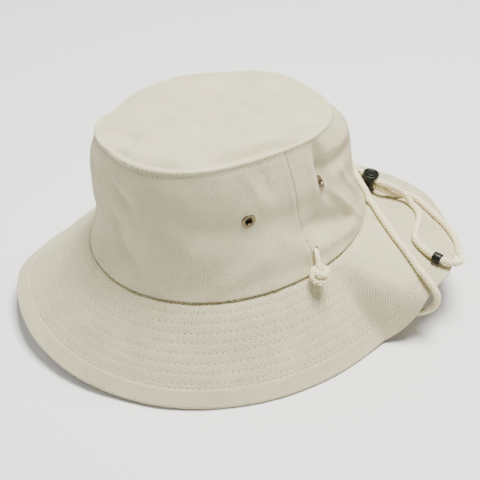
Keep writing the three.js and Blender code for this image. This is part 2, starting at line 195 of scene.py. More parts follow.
@dataclass(frozen=True)
class ClothFinish:
    """Stone cotton twill: its two mingled tones, its weave in metres, its noises and painted rib
    shade.
    """

    name: str
    warm: Triple = (0.73, 0.65, 0.41)
    cool: Triple = (0.67, 0.635, 0.41)
    # Ends of the colour's level: painted shade in the rib grooves and lighter rib tops, mixed with
    # random tone.
    shadow: float = 0.5
    light: float = 1.12
    # Direction, pitch and unevenness of the ribs, and of the yarns across them.
    rib: tuple[str, float, float] = ("X", 1.4 * MM, 0.7)
    yarn: tuple[str, float, float] = ("Y", 0.6 * MM, 1.4)
    slubs: tuple[float, float] = (750.0, 3.0)
    clouds: tuple[float, float] = (45.0, 5.0)
    patches: tuple[float, float] = (70.0, 3.0)
    yarn_share: float = 0.3
    tone_share: float = 0.55
    tone_spread: tuple[float, float] = (0.55, 1.7)
    patch_spread: tuple[float, float] = (0.35, 0.65)
    relief: tuple[float, float] = (0.9, 0.2 * MM)

    def build(self) -> Material:
        """Makes the twill, whose ribs run along V of the piece's own UV map.

        Returns:
            The material.
        """
        paint = Paint(self.name)
        uv = paint.add("ShaderNodeUVMap", {}, "UV", uv_map="weave")
        bands = []
        for axis, pitch, wander in (self.rib, self.yarn):
            inputs = {"Vector": uv, "Scale": 1 / pitch / WAVE_BANDS, "Distortion": wander,
                      "Detail": 1.0, "Detail Scale": 1.0}
            bands.append(paint.add("ShaderNodeTexWave", inputs, "Fac", bands_direction=axis))
        # Painted shade: the colour follows the weave's bump, darker in the rib grooves, broken up
        # at random by slubs and clouds.
        weave = paint.add_share(bands[1], self.yarn_share, bands[0])
        shade = paint.add_share(weave, self.tone_share, paint.noise(uv, self.slubs))
        tone = paint.add_share(paint.noise(paint.place, self.clouds), self.tone_share, shade)
        level = paint.fit(tone, self.tone_spread, self.shadow, self.light)
        patch = paint.fit(paint.noise(paint.place, self.patches), self.patch_spread)
        colour = paint.blend(1.0, paint.blend(patch, self.cool, self.warm), level, "MULTIPLY")
        values = {"Base Color": colour, "Roughness": 0.92, "Sheen Weight": 0.1,
                  "Sheen Roughness": 0.5, "Specular IOR Level": 0.2}
        return paint.shade(values, weave, self.relief)


@dataclass(frozen=True)
class CordFinish:
    """Cream braided cotton, with fine fibres along the strands and painted shade in the gaps
    between them.
    """

    name: str
    colour: Triple = (1.0, 0.92, 0.60)
    # Painted shade in the gaps between the strands.
    gap_shade: Triple = (0.38, 0.27, 0.14)
    fibres: tuple[float, float] = (2600.0, 2.0)
    fibre_share: float = 0.2
    relief: tuple[float, float] = (0.4, 0.1 * MM)

    def build(self) -> Material:
        """Makes the cord's material, with painted shade that darkens the gaps between the strands.

        Returns:
            The material.
        """
        paint = Paint(self.name)
        height = paint.add("ShaderNodeAttribute", {}, "Fac", attribute_name="strand_height")
        fibre = paint.noise(paint.place, self.fibres)
        share = paint.add_share(fibre, self.fibre_share, height)
        # Painted shade: the colour runs from the gap shade in the gaps to the cream on the strands'
        # backs.
        values = {"Base Color": paint.blend(share, self.gap_shade, self.colour), "Roughness": 0.85,
                  "Sheen Weight": 0.2, "Sheen Roughness": 0.5, "Specular IOR Level": 0.2}
        return paint.shade(values, fibre, self.relief)


@dataclass(frozen=True)
class PlainFinish:
    """A moulded, cast or spun finish, or the painted shade of the needle holes: one colour broken
    up by fine noise.
    """

    name: str
    colour: Triple
    # Second colour, flecked in by the fine noise; for the needle holes both colours are painted
    # shade.
    speckle: Triple
    roughness: float
    metallic: float
    grain: float
    grain_detail: float = 4.0
    speckle_spread: tuple[float, float] = (0.35, 0.75)
    gloss_spread: tuple[float, float] = (0.8, 1.25)
    relief: tuple[float, float] = (0.15, 0.05 * MM)

    def build(self) -> Material:
        """Makes the material.

        Returns:
            The material.
        """
        paint = Paint(self.name)
        fine = paint.noise(paint.place, (self.grain, self.grain_detail))
        low, high = (self.roughness * share for share in self.gloss_spread)
        speckle_mix = paint.fit(fine, self.speckle_spread)
        values = {"Base Color": paint.blend(speckle_mix, self.colour, self.speckle),
                  "Roughness": paint.fit(fine, (0, 1), low, high), "Metallic": self.metallic,
                  "Specular IOR Level": 0.28}
        return paint.shade(values, fine, self.relief)


def table_values(rows: Sequence[tuple], column: int, angles: np.ndarray) -> np.ndarray:
    """Reads a table as a smooth periodic curve that doesn't overshoot between its rows.

    Args:
        rows: Rows that start with an angle in degrees, in rising order.
        column: The column to read.
        angles: Angles in degrees.

    Returns:
        The values at those angles.
    """
    place = np.array([row[0] for row in rows], float)
    value = np.array([row[column] for row in rows], float)
    span = (np.roll(place, -1) - place) % 360
    grade = (np.roll(value, -1) - value) / span
    before = np.roll(grade, 1)
    same = before * grade > 0
    bend = np.where(same, 2 * before * grade / np.where(same, before + grade, 1), 0)
    turn = np.asarray(angles, float) % 360
    i = (np.searchsorted(place, turn, side="right") - 1) % len(rows)
    following = (i + 1) % len(rows)
    t = ((turn - place[i]) % 360) / span[i]
    ease = t * t * (3 - 2 * t)
    rise = t * (1 - t) ** 2 * span[i] * bend[i] - t * t * (1 - t) * span[i] * bend[following]
    return value[i] * (1 - ease) + value[following] * ease + rise


def turn_between(a: np.ndarray, b: float) -> np.ndarray:
    """Signed difference of two angles in degrees, from -180 to 180."""
    return (np.asarray(a, float) - b + 540) % 360 - 180


def bump(offset: np.ndarray, spread: float) -> np.ndarray:
    """A soft round bump, 1 in its middle."""
    return np.exp(-((offset / spread) ** 2))


def smooth_step(value: np.ndarray, low: float, high: float) -> np.ndarray:
    """Eases from 0 at low to 1 at high."""
    t = np.clip((value - low) / (high - low), 0, 1)
    return t * t * (3 - 2 * t)


def unit(vectors: np.ndarray) -> np.ndarray:
    """Scales vectors to length 1."""
    return vectors / np.linalg.norm(vectors, axis=-1, keepdims=True)


def run_along(line: np.ndarray) -> np.ndarray:
    """Distances along a line to each of its points."""
    return np.concatenate([[0], np.cumsum(np.linalg.norm(np.diff(line, axis=0), axis=1))])


def read_line(at: np.ndarray, run: np.ndarray, line: np.ndarray) -> np.ndarray:
    """Reads a line at some distances, from the distances of its points."""
    return np.stack([np.interp(at, run, line[:, k]) for k in range(3)], axis=-1)


def column(value: np.ndarray) -> np.ndarray:
    """Turns values for the columns of a grid into one column."""
    return value[:, None]


def fold_height(place: np.ndarray, run: np.ndarray, width: float, depth: float) -> np.ndarray:
    """How far a fold moves the cloth.

    Args:
        place: Flat points from the fold's start.
        run: The fold's end from its start.
        width: Its width in millimetres.
        depth: Its depth in millimetres.

    Returns:
        A height in metres for each point.
    """
    length = np.linalg.norm(run)
    run = run / length
    along = place @ run
    across = place @ np.array([-run[1], run[0]])
    beyond = np.maximum(0, np.maximum(-along, along - length))
    return depth * MM * bump(across, width * MM) * bump(beyond, 1.6 * width * MM)


def cloth_noise(points: np.ndarray, scale: float, strength: float) -> np.ndarray:
    """Soft unevenness of cloth at some points, the same at every run. All in metres."""
    values = [noise.noise(Vector(p)) for p in points.reshape(-1, 3) / scale]
    return np.array(values).reshape(points.shape[:-1]) * strength


def weave_map(along: np.ndarray, up: np.ndarray, grain: float) -> np.ndarray:
    """Lays the twill's ribs on a panel.

    Args:
        along: Distances along the panel.
        up: Distances up the panel.
        grain: The direction of the ribs on it in degrees, from along towards up.

    Returns:
        UV coordinates in metres, with the ribs along V.
    """
    c, s = math.cos(math.radians(grain)), math.sin(math.radians(grain))
    return np.stack(np.broadcast_arrays(along * s - up * c, along * c + up * s), axis=-1)


@dataclass(frozen=True)
class Oval:
    """A rounded oval: its half width and half length, and how square it is."""

    half_width: float
    half_length: float
    power: float

    def points(self, angles: np.ndarray) -> np.ndarray:
        """Points of the oval at angles in degrees from +X, flat at z = 0.

        Args:
            angles: Angles in degrees from +X.

        Returns:
            A point for each angle.
        """
        c, s = np.cos(np.radians(angles)), np.sin(np.radians(angles))
        x = self.half_width * np.sign(c) * np.abs(c) ** (2 / self.power)
        y = self.half_length * np.sign(s) * np.abs(s) ** (2 / self.power)
        return np.stack([x, y, np.zeros_like(x)], axis=-1)

    def outward(self, angles: np.ndarray) -> np.ndarray:
        """Level directions straight out of the oval at angles in degrees.

        Args:
            angles: Angles in degrees from +X.

        Returns:
            A unit vector for each angle.
        """
        along = self.points(angles + 0.05) - self.points(angles - 0.05)
        x, y = along[..., 0], along[..., 1]
        return unit(np.stack([y, -x, np.zeros_like(x)], axis=-1))


@dataclass
class HatForm:
    """The hat's cloth surfaces, from the same sizes and tables as its CAD model. Lengths in metres.

    Each surface is a grid with a column for each angle in degrees, and with a row for each level,
    reach or distance: a level is a height from 0 at the join to 1 at the top seam, a reach a share
    of the way out to that seam, and a distance runs out from the join along the brim's cloth. The
    wall's face and the seam's plane lie about the crown's centre, the rest in the shared frame.
    """

    join: Oval = Oval(87.5 * MM, 106 * MM, 2.035)
    seam: Oval = Oval(60.5 * MM, 83.8 * MM, 2.5)
    seam_shift: tuple[float, float] = (-2.5 * MM, -8 * MM)
    seam_height: float = 85.5 * MM
    seam_rise: tuple[float, float] = (0.035, -0.093)
    dome_height: float = 6 * MM
    dome_power: float = 8
    dome_thickness: float = 1.8 * MM
    wall_thickness: float = 1.8 * MM
    seam_angle: float = 4
    brim_width: float = 72 * MM
    brim_thickness: float = 2.4 * MM
    brim_seat: float = 3 * MM
    rest_slope: float = 53
    # Angle, spread and lead in degrees of the brim's crease.
    crease: Triple = (21, 14, 8)
    # Angle and spread in degrees, and depth, of the notch where the cord pulls the brim in.
    cord_pull: Triple = (27, 5.5, 5 * MM)
    gap: float = 0.3 * MM
    cad_columns: int = 92

    # Angle in degrees, slope below level in degrees.
    brim_slopes: Sequence[tuple] = (
        (0, 53), (10, 53), (16.5, 52), (27, 18), (36, 12), (50, 17.5), (60, 21.5), (80, 27),
        (100, 35), (120, 37), (135, 45), (150, 53), (185, 53), (200, 45.5), (210, 45.5),
        (220, 42), (240, 32.5), (260, 37), (280, 45), (295, 50.5), (315, 52.5), (325, 53),
    )
    # Angle in degrees, shoulder and waist in millimetres.
    wall_shape: Sequence[tuple] = (
        (0, 0.6, 0), (22, 1.5, 0), (45, 6, -0.5), (65, 8, -1.5), (95, 7, -1), (135, 4, 0),
        (180, 2.5, 0), (235, 4, -1.6), (270, 2.5, -1), (310, 1.2, 0),
    )
    # Level and spread of the shoulder and of the waist.
    wall_levels: Sequence[tuple] = ((0.82, 0.3), (0.25, 0.2))
    # Angle in degrees, outwards and upwards in millimetres.
    seam_shape: Sequence[tuple] = (
        (60, 0, 0), (90, 1.2, 1), (130, 1.5, 2), (150, 1, 1.2), (178, 4, 3), (198, 1, 1),
        (212, -2, -1.5), (228, -0.7, -0.6), (245, 0, 0),
    )
    # Angle, level, spread in degrees, spread in level, depth in millimetres.
    wall_dents: Sequence[tuple] = (
        (17, 0.3, 9, 0.22, -3.2), (31, 0.2, 7, 0.16, 2.2), (42, 0.45, 8, 0.2, -3),
        (284, 0.4, 10, 0.3, -2.5), (340, 0.45, 16, 0.3, -1),
    )
    # Angle, reach, spread in degrees, spread in reach, depth in millimetres.
    dome_dents: Sequence[tuple] = (
        (350, 0.82, 30, 0.14, -3.4), (262, 0.8, 16, 0.14, -2.4), (352, 0.925, 22, 0.045, -1.8),
    )
    # Folds of the wall: start angle and level, end angle and level, width and depth in millimetres.
    wall_folds: Sequence[tuple] = (
        (23.8, 0.88, 23.8, 0.56, 5.5, -5), (25, 0.71, 47, 0.71, 7, -4.6),
        (15.5, 0.92, 15.5, 0.60, 3, 1.0), (24, 0.55, 41, 0.10, 4, 3.0),
        (9, 0.31, 34, 0.20, 7.5, -4.0), (12, 0.47, 13, 0.36, 8, -1.6), (9, 0.15, 36, 0.06, 5, 1.8),
        (37, 0.62, 48, 0.30, 4, 1.5), (30, 0.93, 46, 0.93, 6, 1.2), (325, 0.52, 2, 0.47, 9, -2.2),
        (272, 0.80, 284, 0.68, 5, -2.2), (274, 0.50, 279, 0.30, 5, -1.5),
        (276, 0.28, 288, 0.2, 5, -1.5), (300, 0.75, 318, 0.62, 8, -1.5),
        (350, 0.93, 352, 0.72, 4, 1.0), (356, 0.95, 357, 0.75, 3, -1.0),
        (328, 0.1, 345, 0.25, 7, 1.2), (165, 0.85, 163, 0.6, 8, -3), (150, 0.4, 170, 0.3, 7, -2.5),
        (195, 0.5, 215, 0.42, 9, -2), (110, 0.55, 128, 0.45, 10, -1.5),
        (240, 0.45, 255, 0.35, 9, -1.5),
    )
    # Folds of the top panel: start angle and reach, end angle and reach, width and depth in
    # millimetres.
    top_folds: Sequence[tuple] = (
        (175, 0.67, 88, 0.30, 3.5, 1.8), (80, 0.31, 14, 0.93, 3.5, 2.2),
        (338, 0.80, 6, 0.86, 5.5, 4.6), (254, 0.93, 268, 0.80, 7, -5.0),
        (274, 0.82, 262, 0.60, 6, 1.6), (330, 0.70, 300, 0.62, 9, -2.0),
        (46, 0.86, 62, 0.60, 6, -2.6), (42, 0.93, 27, 0.82, 3, 1.4), (200, 0.6, 300, 0.3, 9, -2.0),
        (120, 0.7, 60, 0.6, 8, -1.6), (278, 0.90, 310, 0.90, 5, 1.5),
    )
    base: float = field(init=False)
    shift: np.ndarray = field(init=False)

    def __post_init__(self) -> None:
        """Works out the join's height and where the crown's centre lies in the shared frame."""
        slope = math.radians(self.rest_slope)
        self.base = self.brim_width * math.sin(slope) + self.brim_thickness * math.cos(slope)
        self.shift = np.zeros(3)
        angles = np.arange(self.cad_columns) * 360 / self.cad_columns
        ring = self.brim(angles, np.array([0, self.brim_width]), np.zeros(2)).reshape(-1, 3)
        middle = (ring.min(axis=0) + ring.max(axis=0)) / 2
        self.shift = np.array([-middle[0], -middle[1], 0])

    def seam_points(self, angles: np.ndarray, reach: np.ndarray) -> np.ndarray:
        """Points of the leaning plane of the top panel.

        Args:
            angles: Angles in degrees, one for each column.
            reach: Reaches, one for each row.

        Returns:
            The grid of points, about the crown's centre.
        """
        out, up = (column(table_values(self.seam_shape, k, angles) * MM) for k in (1, 2))
        edge = self.seam.points(angles) + self.seam.outward(angles) * out
        flat = edge[:, None, :] * reach[None, :, None]
        rise = self.seam_rise[0] * flat[..., 0] + self.seam_rise[1] * flat[..., 1]
        flat[..., 2] = self.base + self.seam_height + rise + up * reach[None, :] ** 2
        flat[..., :2] += self.seam_shift
        return flat

    @staticmethod
    def dents(table: Sequence[tuple], angles: np.ndarray, rows: np.ndarray) -> np.ndarray:
        """Adds up the round dents of a table, as heights of a grid in metres.

        Args:
            table: Rows of angle, middle, spread, rise and depth.
            angles: Angles in degrees, one for each column.
            rows: Level or reach of each row.

        Returns:
            A grid of heights in metres.
        """
        total = np.zeros((len(angles), len(rows)))
        for angle, middle, spread, rise, depth in table:
            around = column(bump(turn_between(angles, angle), spread))
            total += depth * MM * around * bump(rows - middle, rise)[None, :]
        return total

    def wall_face(self, angles: np.ndarray, levels: np.ndarray) -> np.ndarray:
        """The wall's outer face.

        Args:
            angles: Angles in degrees, one for each column.
            levels: Levels, one for each row.

        Returns:
            The grid of points, about the crown's centre.
        """
        foot = self.join.points(angles)
        foot[:, 2] = self.base
        top = self.seam_points(angles, np.array([1.0]))[:, 0]
        share = levels[None, :, None]
        point = foot[:, None, :] * (1 - share) + top[:, None, :] * share
        out = self.dents(self.wall_dents, angles, levels)
        for k, (level, spread) in enumerate(self.wall_levels):
            bulge = column(table_values(self.wall_shape, k + 1, angles) * MM)
            out += bulge * bump(levels - level, spread)[None, :]
        for start, start_level, end, end_level, width, depth in self.wall_folds:
            along = column(turn_between(angles, start)) * DEGREE
            up = (levels - start_level)[None, :] * self.seam_height
            place = np.stack(np.broadcast_arrays(along, up), axis=-1)
            run = np.array([turn_between(end, start) * DEGREE,
                            (end_level - start_level) * self.seam_height])
            out += fold_height(place, run, width, depth)
        fade = np.minimum(1, np.minimum(levels * 8, (1 - levels) * 6))[None, :]
        return point + self.join.outward(angles)[:, None, :] * (out * fade)[..., None]

    def wall_outward(self, angles: np.ndarray, levels: np.ndarray) -> np.ndarray:
        """Unit vectors straight out of the wall.

        Args:
            angles: Angles in degrees, one for each column.
            levels: Levels, one for each row.

        Returns:
            A grid of unit vectors.
        """
        around = self.wall_face(angles + 1, levels) - self.wall_face(angles - 1, levels)
        above, below = np.minimum(1, levels + 0.02), np.maximum(0, levels - 0.02)
        return unit(np.cross(around, self.wall_face(angles, above) - self.wall_face(angles, below)))

    def dome(self, angles: np.ndarray, reach: np.ndarray, depths: np.ndarray) -> np.ndarray:
        """Points in the top panel's cloth, each row at a depth below its upper face.

        Args:
            angles: Angles in degrees, one for each column.
            reach: Reaches, one for each row.
            depths: Depths below the upper face, one for each row.

        Returns:
            The grid of points.
        """
        points = self.seam_points(angles, reach)
        lift = self.dome_height * (1 - np.minimum(1, reach) ** self.dome_power)
        folds = np.zeros(points.shape[:-1])
        for start_angle, start_reach, end_angle, end_reach, width, depth in self.top_folds:
            start, end = (
                self.seam.points(np.array([angle]))[0, :2] * share + np.array(self.seam_shift)
                for angle, share in ((start_angle, start_reach), (end_angle, end_reach))
            )
            folds += fold_height(points[..., :2] - start, end - start, width, depth)
        dents = self.dents(self.dome_dents, angles, reach)
        dents = dents + folds * smooth_step(1 - reach, 0, 0.05)[None, :]
        points[..., 2] += np.maximum(0, lift[None, :] + dents) - depths[None, :]
        return points + self.shift

    def brim(self, angles: np.ndarray, distances: np.ndarray, depths: np.ndarray) -> np.ndarray:
        """Points in the brim's cloth.

        Args:
            angles: Angles, one for each column.
            distances: Distances, one for each row.
            depths: Depths below the upper face, one for each row or for each column and row.

        Returns:
            The grid of points.
        """
        out_share = np.clip(distances, 0, None) / self.brim_width
        angle, spread, lead = self.crease
        led = lead * column(bump(turn_between(angles, angle), spread)) * (1 - out_share)[None, :]
        slope = np.radians(table_values(self.brim_slopes, 1, angles[:, None] + led))
        angle, spread, pull = self.cord_pull
        pull = pull * column(bump(turn_between(angles, angle), spread)) * out_share[None, :] ** 3
        tilt = np.where((distances > 0)[None, :], slope, 0)
        depth = np.broadcast_to(depths, slope.shape)
        at_join = (distances == 0)[None, :]
        lean = np.where(at_join, np.tan(slope / 2), np.sin(tilt)) * depth
        drop = np.where(at_join, 1, np.cos(tilt)) * depth
        out = distances[None, :] * np.cos(tilt) - lean - pull
        outward = self.join.outward(angles)[:, None, :]
        points = self.join.points(angles)[:, None, :] + outward * out[..., None]
        points[..., 2] = self.base - np.clip(distances, 0, None)[None, :] * np.sin(tilt) - drop
        return points + self.shift

    def brim_up(self, angles: np.ndarray, distances: np.ndarray) -> np.ndarray:
        """Unit vectors straight up out of the brim's upper face.

        Args:
            angles: Angles in degrees, one for each column.
            distances: Distances, one for each row.

        Returns:
            A grid of unit vectors.
        """
        zero = np.zeros_like(distances)
        around = self.brim(angles + 0.5, distances, zero) - self.brim(angles - 0.5, distances, zero)
        outward = self.brim(angles, distances + 0.5 * MM, zero) - self.brim(angles, distances, zero)
        return unit(np.cross(outward, around))


def make_object(name: str, mesh: Mesh, material: Material) -> Thing:
    """Links a mesh into the scene as a smooth object of one material.

    Args:
        name: The object's name.
        mesh: The mesh.
        material: Its only material.

    Returns:
        The object.
    """
    mesh.materials.clear()
    mesh.materials.append(material)
    mesh.shade_smooth()
    thing = bpy.data.objects.new(name, mesh)
    bpy.context.collection.objects.link(thing)
    return thing


def loft_mesh(name: str, sections: np.ndarray, closed: bool = True, weave: np.ndarray | None = None,
              middles: np.ndarray | None = None) -> Mesh:
    """Makes a closed mesh through sections that are closed loops.

    Args:
        name: The mesh's name.
        sections: An array of sections, points and coordinates.
        closed: Whether the last section joins the first. Otherwise both ends are capped.
        weave: UV coordinates in metres for each point, or None.
        middles: The two points that the end caps meet in, or None for caps straight across.

    Returns:
        The mesh, with its doubled points merged and its faces outwards.
    """
    count, size = sections.shape[:2]
    index = np.arange(count * size).reshape(count, size)
    rows = np.vstack([index, index[:1]]) if closed else index
    a, b = rows[:-1], rows[1:]
    faces = np.stack([a, np.roll(a, -1, axis=1), np.roll(b, -1, axis=1), b], axis=-1)
    faces = faces.reshape(-1, 4).tolist()
    verts = sections.reshape(-1, 3).tolist()
    first, last = index[0].tolist(), index[-1].tolist()
    if middles is not None:
        verts += middles.tolist()
        for k in range(size):
            n = (k + 1) % size
            faces += [[count * size, first[n], first[k]], [count * size + 1, last[k], last[n]]]
    elif not closed:
        for j in range((size - 1) // 2):
            faces += [[first[j], first[-1 - j], first[-2 - j], first[j + 1]],
                      [last[j], last[j + 1], last[-2 - j], last[-1 - j]]]
    mesh = bpy.data.meshes.new(name)
    mesh.from_pydata(verts, [], faces)
    if weave is not None:
        corners = np.empty(len(mesh.loops), dtype=int)
        mesh.loops.foreach_get("vertex_index", corners)
        layer = mesh.uv_layers.new(name="weave")
        layer.data.foreach_set("uv", weave.reshape(-1, 2)[corners].astype(np.float32).ravel())
    work = bmesh.new()
    work.from_mesh(mesh)
    bmesh.ops.remove_doubles(work, verts=work.verts, dist=1e-6)
    bmesh.ops.recalc_face_normals(work, faces=work.faces)
    work.to_mesh(mesh)
    work.free()
    return mesh


def rounded(profile: Sequence[Triple], steps: int = 5) -> np.ndarray:
    """Rounds the corners of a profile.

    Args:
        profile: X, Y and corner radius of each point. A radius of 0 keeps the corner.
        steps: Points of each round corner, less one.

    Returns:
        The points of the rounded profile.
    """
    result = []
    for i, (x, y, radius) in enumerate(profile):
        here = np.array([x, y])
        if radius == 0:
            result.append(here)
            continue
        before, after = (np.array(profile[k % len(profile)][:2]) for k in (i - 1, i + 1))
        start, end = here + unit(before - here) * radius, here + unit(after - here) * radius
        for t in np.linspace(0, 1, steps + 1):
            result.append(start * (1 - t) ** 2 + here * 2 * t * (1 - t) + end * t * t)
    return np.array(result)


def turned_mesh(name: str, profile: Sequence[Triple], sides: int) -> Mesh:
    """Turns a profile about Z.

    Args:
        name: The mesh's name.
        profile: Radius, height and corner radius of each point.
        sides: Number of sides.

    Returns:
        The mesh. A profile that doesn't end on the axis is closed on itself.
    """
    angles = np.arange(sides) * 2 * math.pi / sides
    ring = np.stack([np.cos(angles), np.sin(angles)], axis=-1)
    points = rounded(profile)
    flat = ring[:, None, :] * points[None, :, 0:1]
    heights = np.broadcast_to(points[None, :, 1:2], (sides, len(points), 1))
    return loft_mesh(name, np.concatenate([flat, heights], axis=-1))


def placing(origin: Vector, z: Vector, x: Vector) -> Matrix:
    """The placing of a part that was made about Z.

    Args:
        origin: Where its origin goes.
        z: Where its Z axis points.
        x: Roughly where its X axis points.

    Returns:
        The matrix.
    """
    up = z.normalized()
    across = (x - up * x.dot(up)).normalized()
    turn = Matrix((across, up.cross(across), up)).transposed()
    return Matrix.Translation(origin) @ turn.to_4x4()


def apply_modifiers(thing: Thing) -> None:
    """Turns an object with modifiers into a plain mesh.

    Args:
        thing: The object.
    """
    graph = bpy.context.evaluated_depsgraph_get()
    plain = bpy.data.meshes.new_from_object(thing.evaluated_get(graph))
    thing.modifiers.clear()
    thing.data = plain


def cut_away(thing: Thing, cutter: Mesh) -> None:
    """Cuts a shape out of a piece, and keeps its new edges sharp.

    Args:
        thing: The piece.
        cutter: The shape that is cut out of it.
    """
    tool = bpy.data.objects.new("cutter", cutter)
    bpy.context.collection.objects.link(tool)
    modifier = thing.modifiers.new("cut", "BOOLEAN")
    modifier.operation = "DIFFERENCE"
    modifier.solver = "EXACT"
    modifier.object = tool
    apply_modifiers(thing)
    bpy.data.objects.remove(tool)
    thing.data.shade_smooth()
    thing.data.set_sharp_from_angle(angle=SHARP_ANGLE)


@dataclass(frozen=True)
class Stitch:
    """One kind of sewn row: thread and painted needle-hole shade in metres, and the mark's slant in
    radians.
    """

    length: float
    width: float
    height: float
    hole: float
    slant: float


BRIM_ROW = Stitch(3.6 * MM, 0.55 * MM, 0.3 * MM, 0.95 * MM, 0.9)
TOPSTITCH = Stitch(2.5 * MM, 0.5 * MM, 0.34 * MM, 0.8 * MM, 0.7)
HEM = Stitch(3.2 * MM, 0.5 * MM, 0.3 * MM, 1.1 * MM, 0.3)


class StitchMaker:
    """Sews rows of thread with Geometry Nodes: a bead of thread and a dark mark of painted
    needle-hole shade a stitch.
    """

    def __init__(self, thread: Material, hole: Material) -> None:
        """Builds the node tree for a thread and the shadow of its needle holes.

        Args:
            thread: The thread's material.
            hole: The material of the painted shade that stands for the needle holes.
        """
        self.group = bpy.data.node_groups.new("sewn_row", "GeometryNodeTree")
        face = self.group.interface
        face.new_socket("Geometry", in_out="INPUT", socket_type="NodeSocketGeometry")
        for name in ("Length", "Width", "Height", "Hole", "Slant"):
            face.new_socket(name, in_out="INPUT", socket_type="NodeSocketFloat")
        face.new_socket("Geometry", in_out="OUTPUT", socket_type="NodeSocketGeometry")
        tree = NodeTree(self.group)
        source = self.group.nodes.new("NodeGroupInput").outputs
        up, along, offset = (
            tree.add("GeometryNodeInputNamedAttribute", {"Name": name}, "Attribute",
                     data_type="FLOAT_VECTOR")
            for name in ("up", "along", "hole_shade_offset")
        )
        turn = tree.add("FunctionNodeAxesToRotation", {"Primary Axis": up, "Secondary Axis": along},
                        "Rotation", primary_axis="Z", secondary_axis="X")
        spin = tree.add("FunctionNodeAxisAngleToRotation",
                        {"Axis": (0, 0, 1), "Angle": source["Slant"]}, "Rotation")
        slanted = tree.add("FunctionNodeRotateRotation", {"Rotation": turn, "Rotate By": spin},
                           "Rotation", rotation_space="LOCAL")
        moved = tree.add("GeometryNodeSetPosition",
                         {"Geometry": source["Geometry"], "Offset": offset}, "Geometry")
        join = self.group.nodes.new("GeometryNodeJoinGeometry")
        # The second bead is a flat dark mark of painted shade for each needle hole.
        for points, rotation, material, length, rings in (
            (source["Geometry"], turn, thread, "Length", 6), (moved, slanted, hole, "Hole", 4),
        ):
            bead = tree.add("GeometryNodeMeshUVSphere",
                            {"Segments": 8, "Rings": rings, "Radius": 0.5}, "Mesh")
            sizes = {"X": source[length], "Y": source["Width"], "Z": source["Height"]}
            inputs = {"Points": points, "Instance": bead, "Rotation": rotation,
                      "Scale": tree.add("ShaderNodeCombineXYZ", sizes, "Vector")}
            placed = tree.add("GeometryNodeInstanceOnPoints", inputs, "Instances")
            real = tree.add("GeometryNodeRealizeInstances", {"Geometry": placed}, "Geometry")
            painted = tree.add("GeometryNodeSetMaterial", {"Geometry": real, "Material": material},
                               "Geometry")
            tree.feed(join.inputs[0], painted)
        tree.feed(self.group.nodes.new("NodeGroupOutput").inputs[0], join.outputs[0])

    def sew(self, name: str, rows: Sequence[tuple[np.ndarray, np.ndarray]], pitch: float,
            stitch: Stitch) -> Thing:
        """Sews rows of stitches as one piece.

        Args:
            name: The piece's name.
            rows: The points and surface directions of each row, close together.
            pitch: Distance from stitch to stitch in metres.
            stitch: The kind of stitch.

        Returns:
            The piece as a plain mesh.
        """
        places, layers = [], {"along": [], "up": [], "hole_shade_offset": []}
        for line, ups in rows:
            run = run_along(line)
            count = max(2, int(run[-1] / pitch))
            at = (np.arange(count) + 0.5) * run[-1] / count
            up = unit(read_line(at, run, ups))
            after, before = (read_line(at + side * pitch / 4, run, line) for side in (1, -1))
            along = unit(after - before)
            places.append(read_line(at, run, line) + up * stitch.height * 0.12)
            for key, values in zip(layers, (along, up, along * run[-1] / count / 2)):
                layers[key].append(values)
        mesh = bpy.data.meshes.new(name)
        mesh.from_pydata(np.concatenate(places).tolist(), [], [])
        for key, values in layers.items():
            layer = mesh.attributes.new(key, "FLOAT_VECTOR", "POINT")
            layer.data.foreach_set("vector", np.concatenate(values).astype(np.float32).ravel())
        thing = bpy.data.objects.new(name, mesh)
        bpy.context.collection.objects.link(thing)
        modifier = thing.modifiers.new("sewn_row", "NODES")
        modifier.node_group = self.group
        for item in self.group.interface.items_tree:
            if item.in_out == "INPUT" and item.name != "Geometry":
                modifier[item.identifier] = getattr(stitch, item.name.lower())
        apply_modifiers(thing)
        thing.data.shade_smooth()
        return thing


def finish_piece(piece: Thing, body: str = BODY, nodes: Sequence[str] = ()) -> Thing:
    """Puts a piece on its body and hides the CAD nodes that it stands for.

    Args:
        piece: The piece.
        body: The body that it moves with.
        nodes: The CAD nodes that it replaces.

    Returns:
        The piece.
    """
    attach(piece, body)
    if nodes:
        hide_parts(*nodes)
    LOG.info("%s: %d faces", piece.name, len(piece.data.polygons))
    return piece


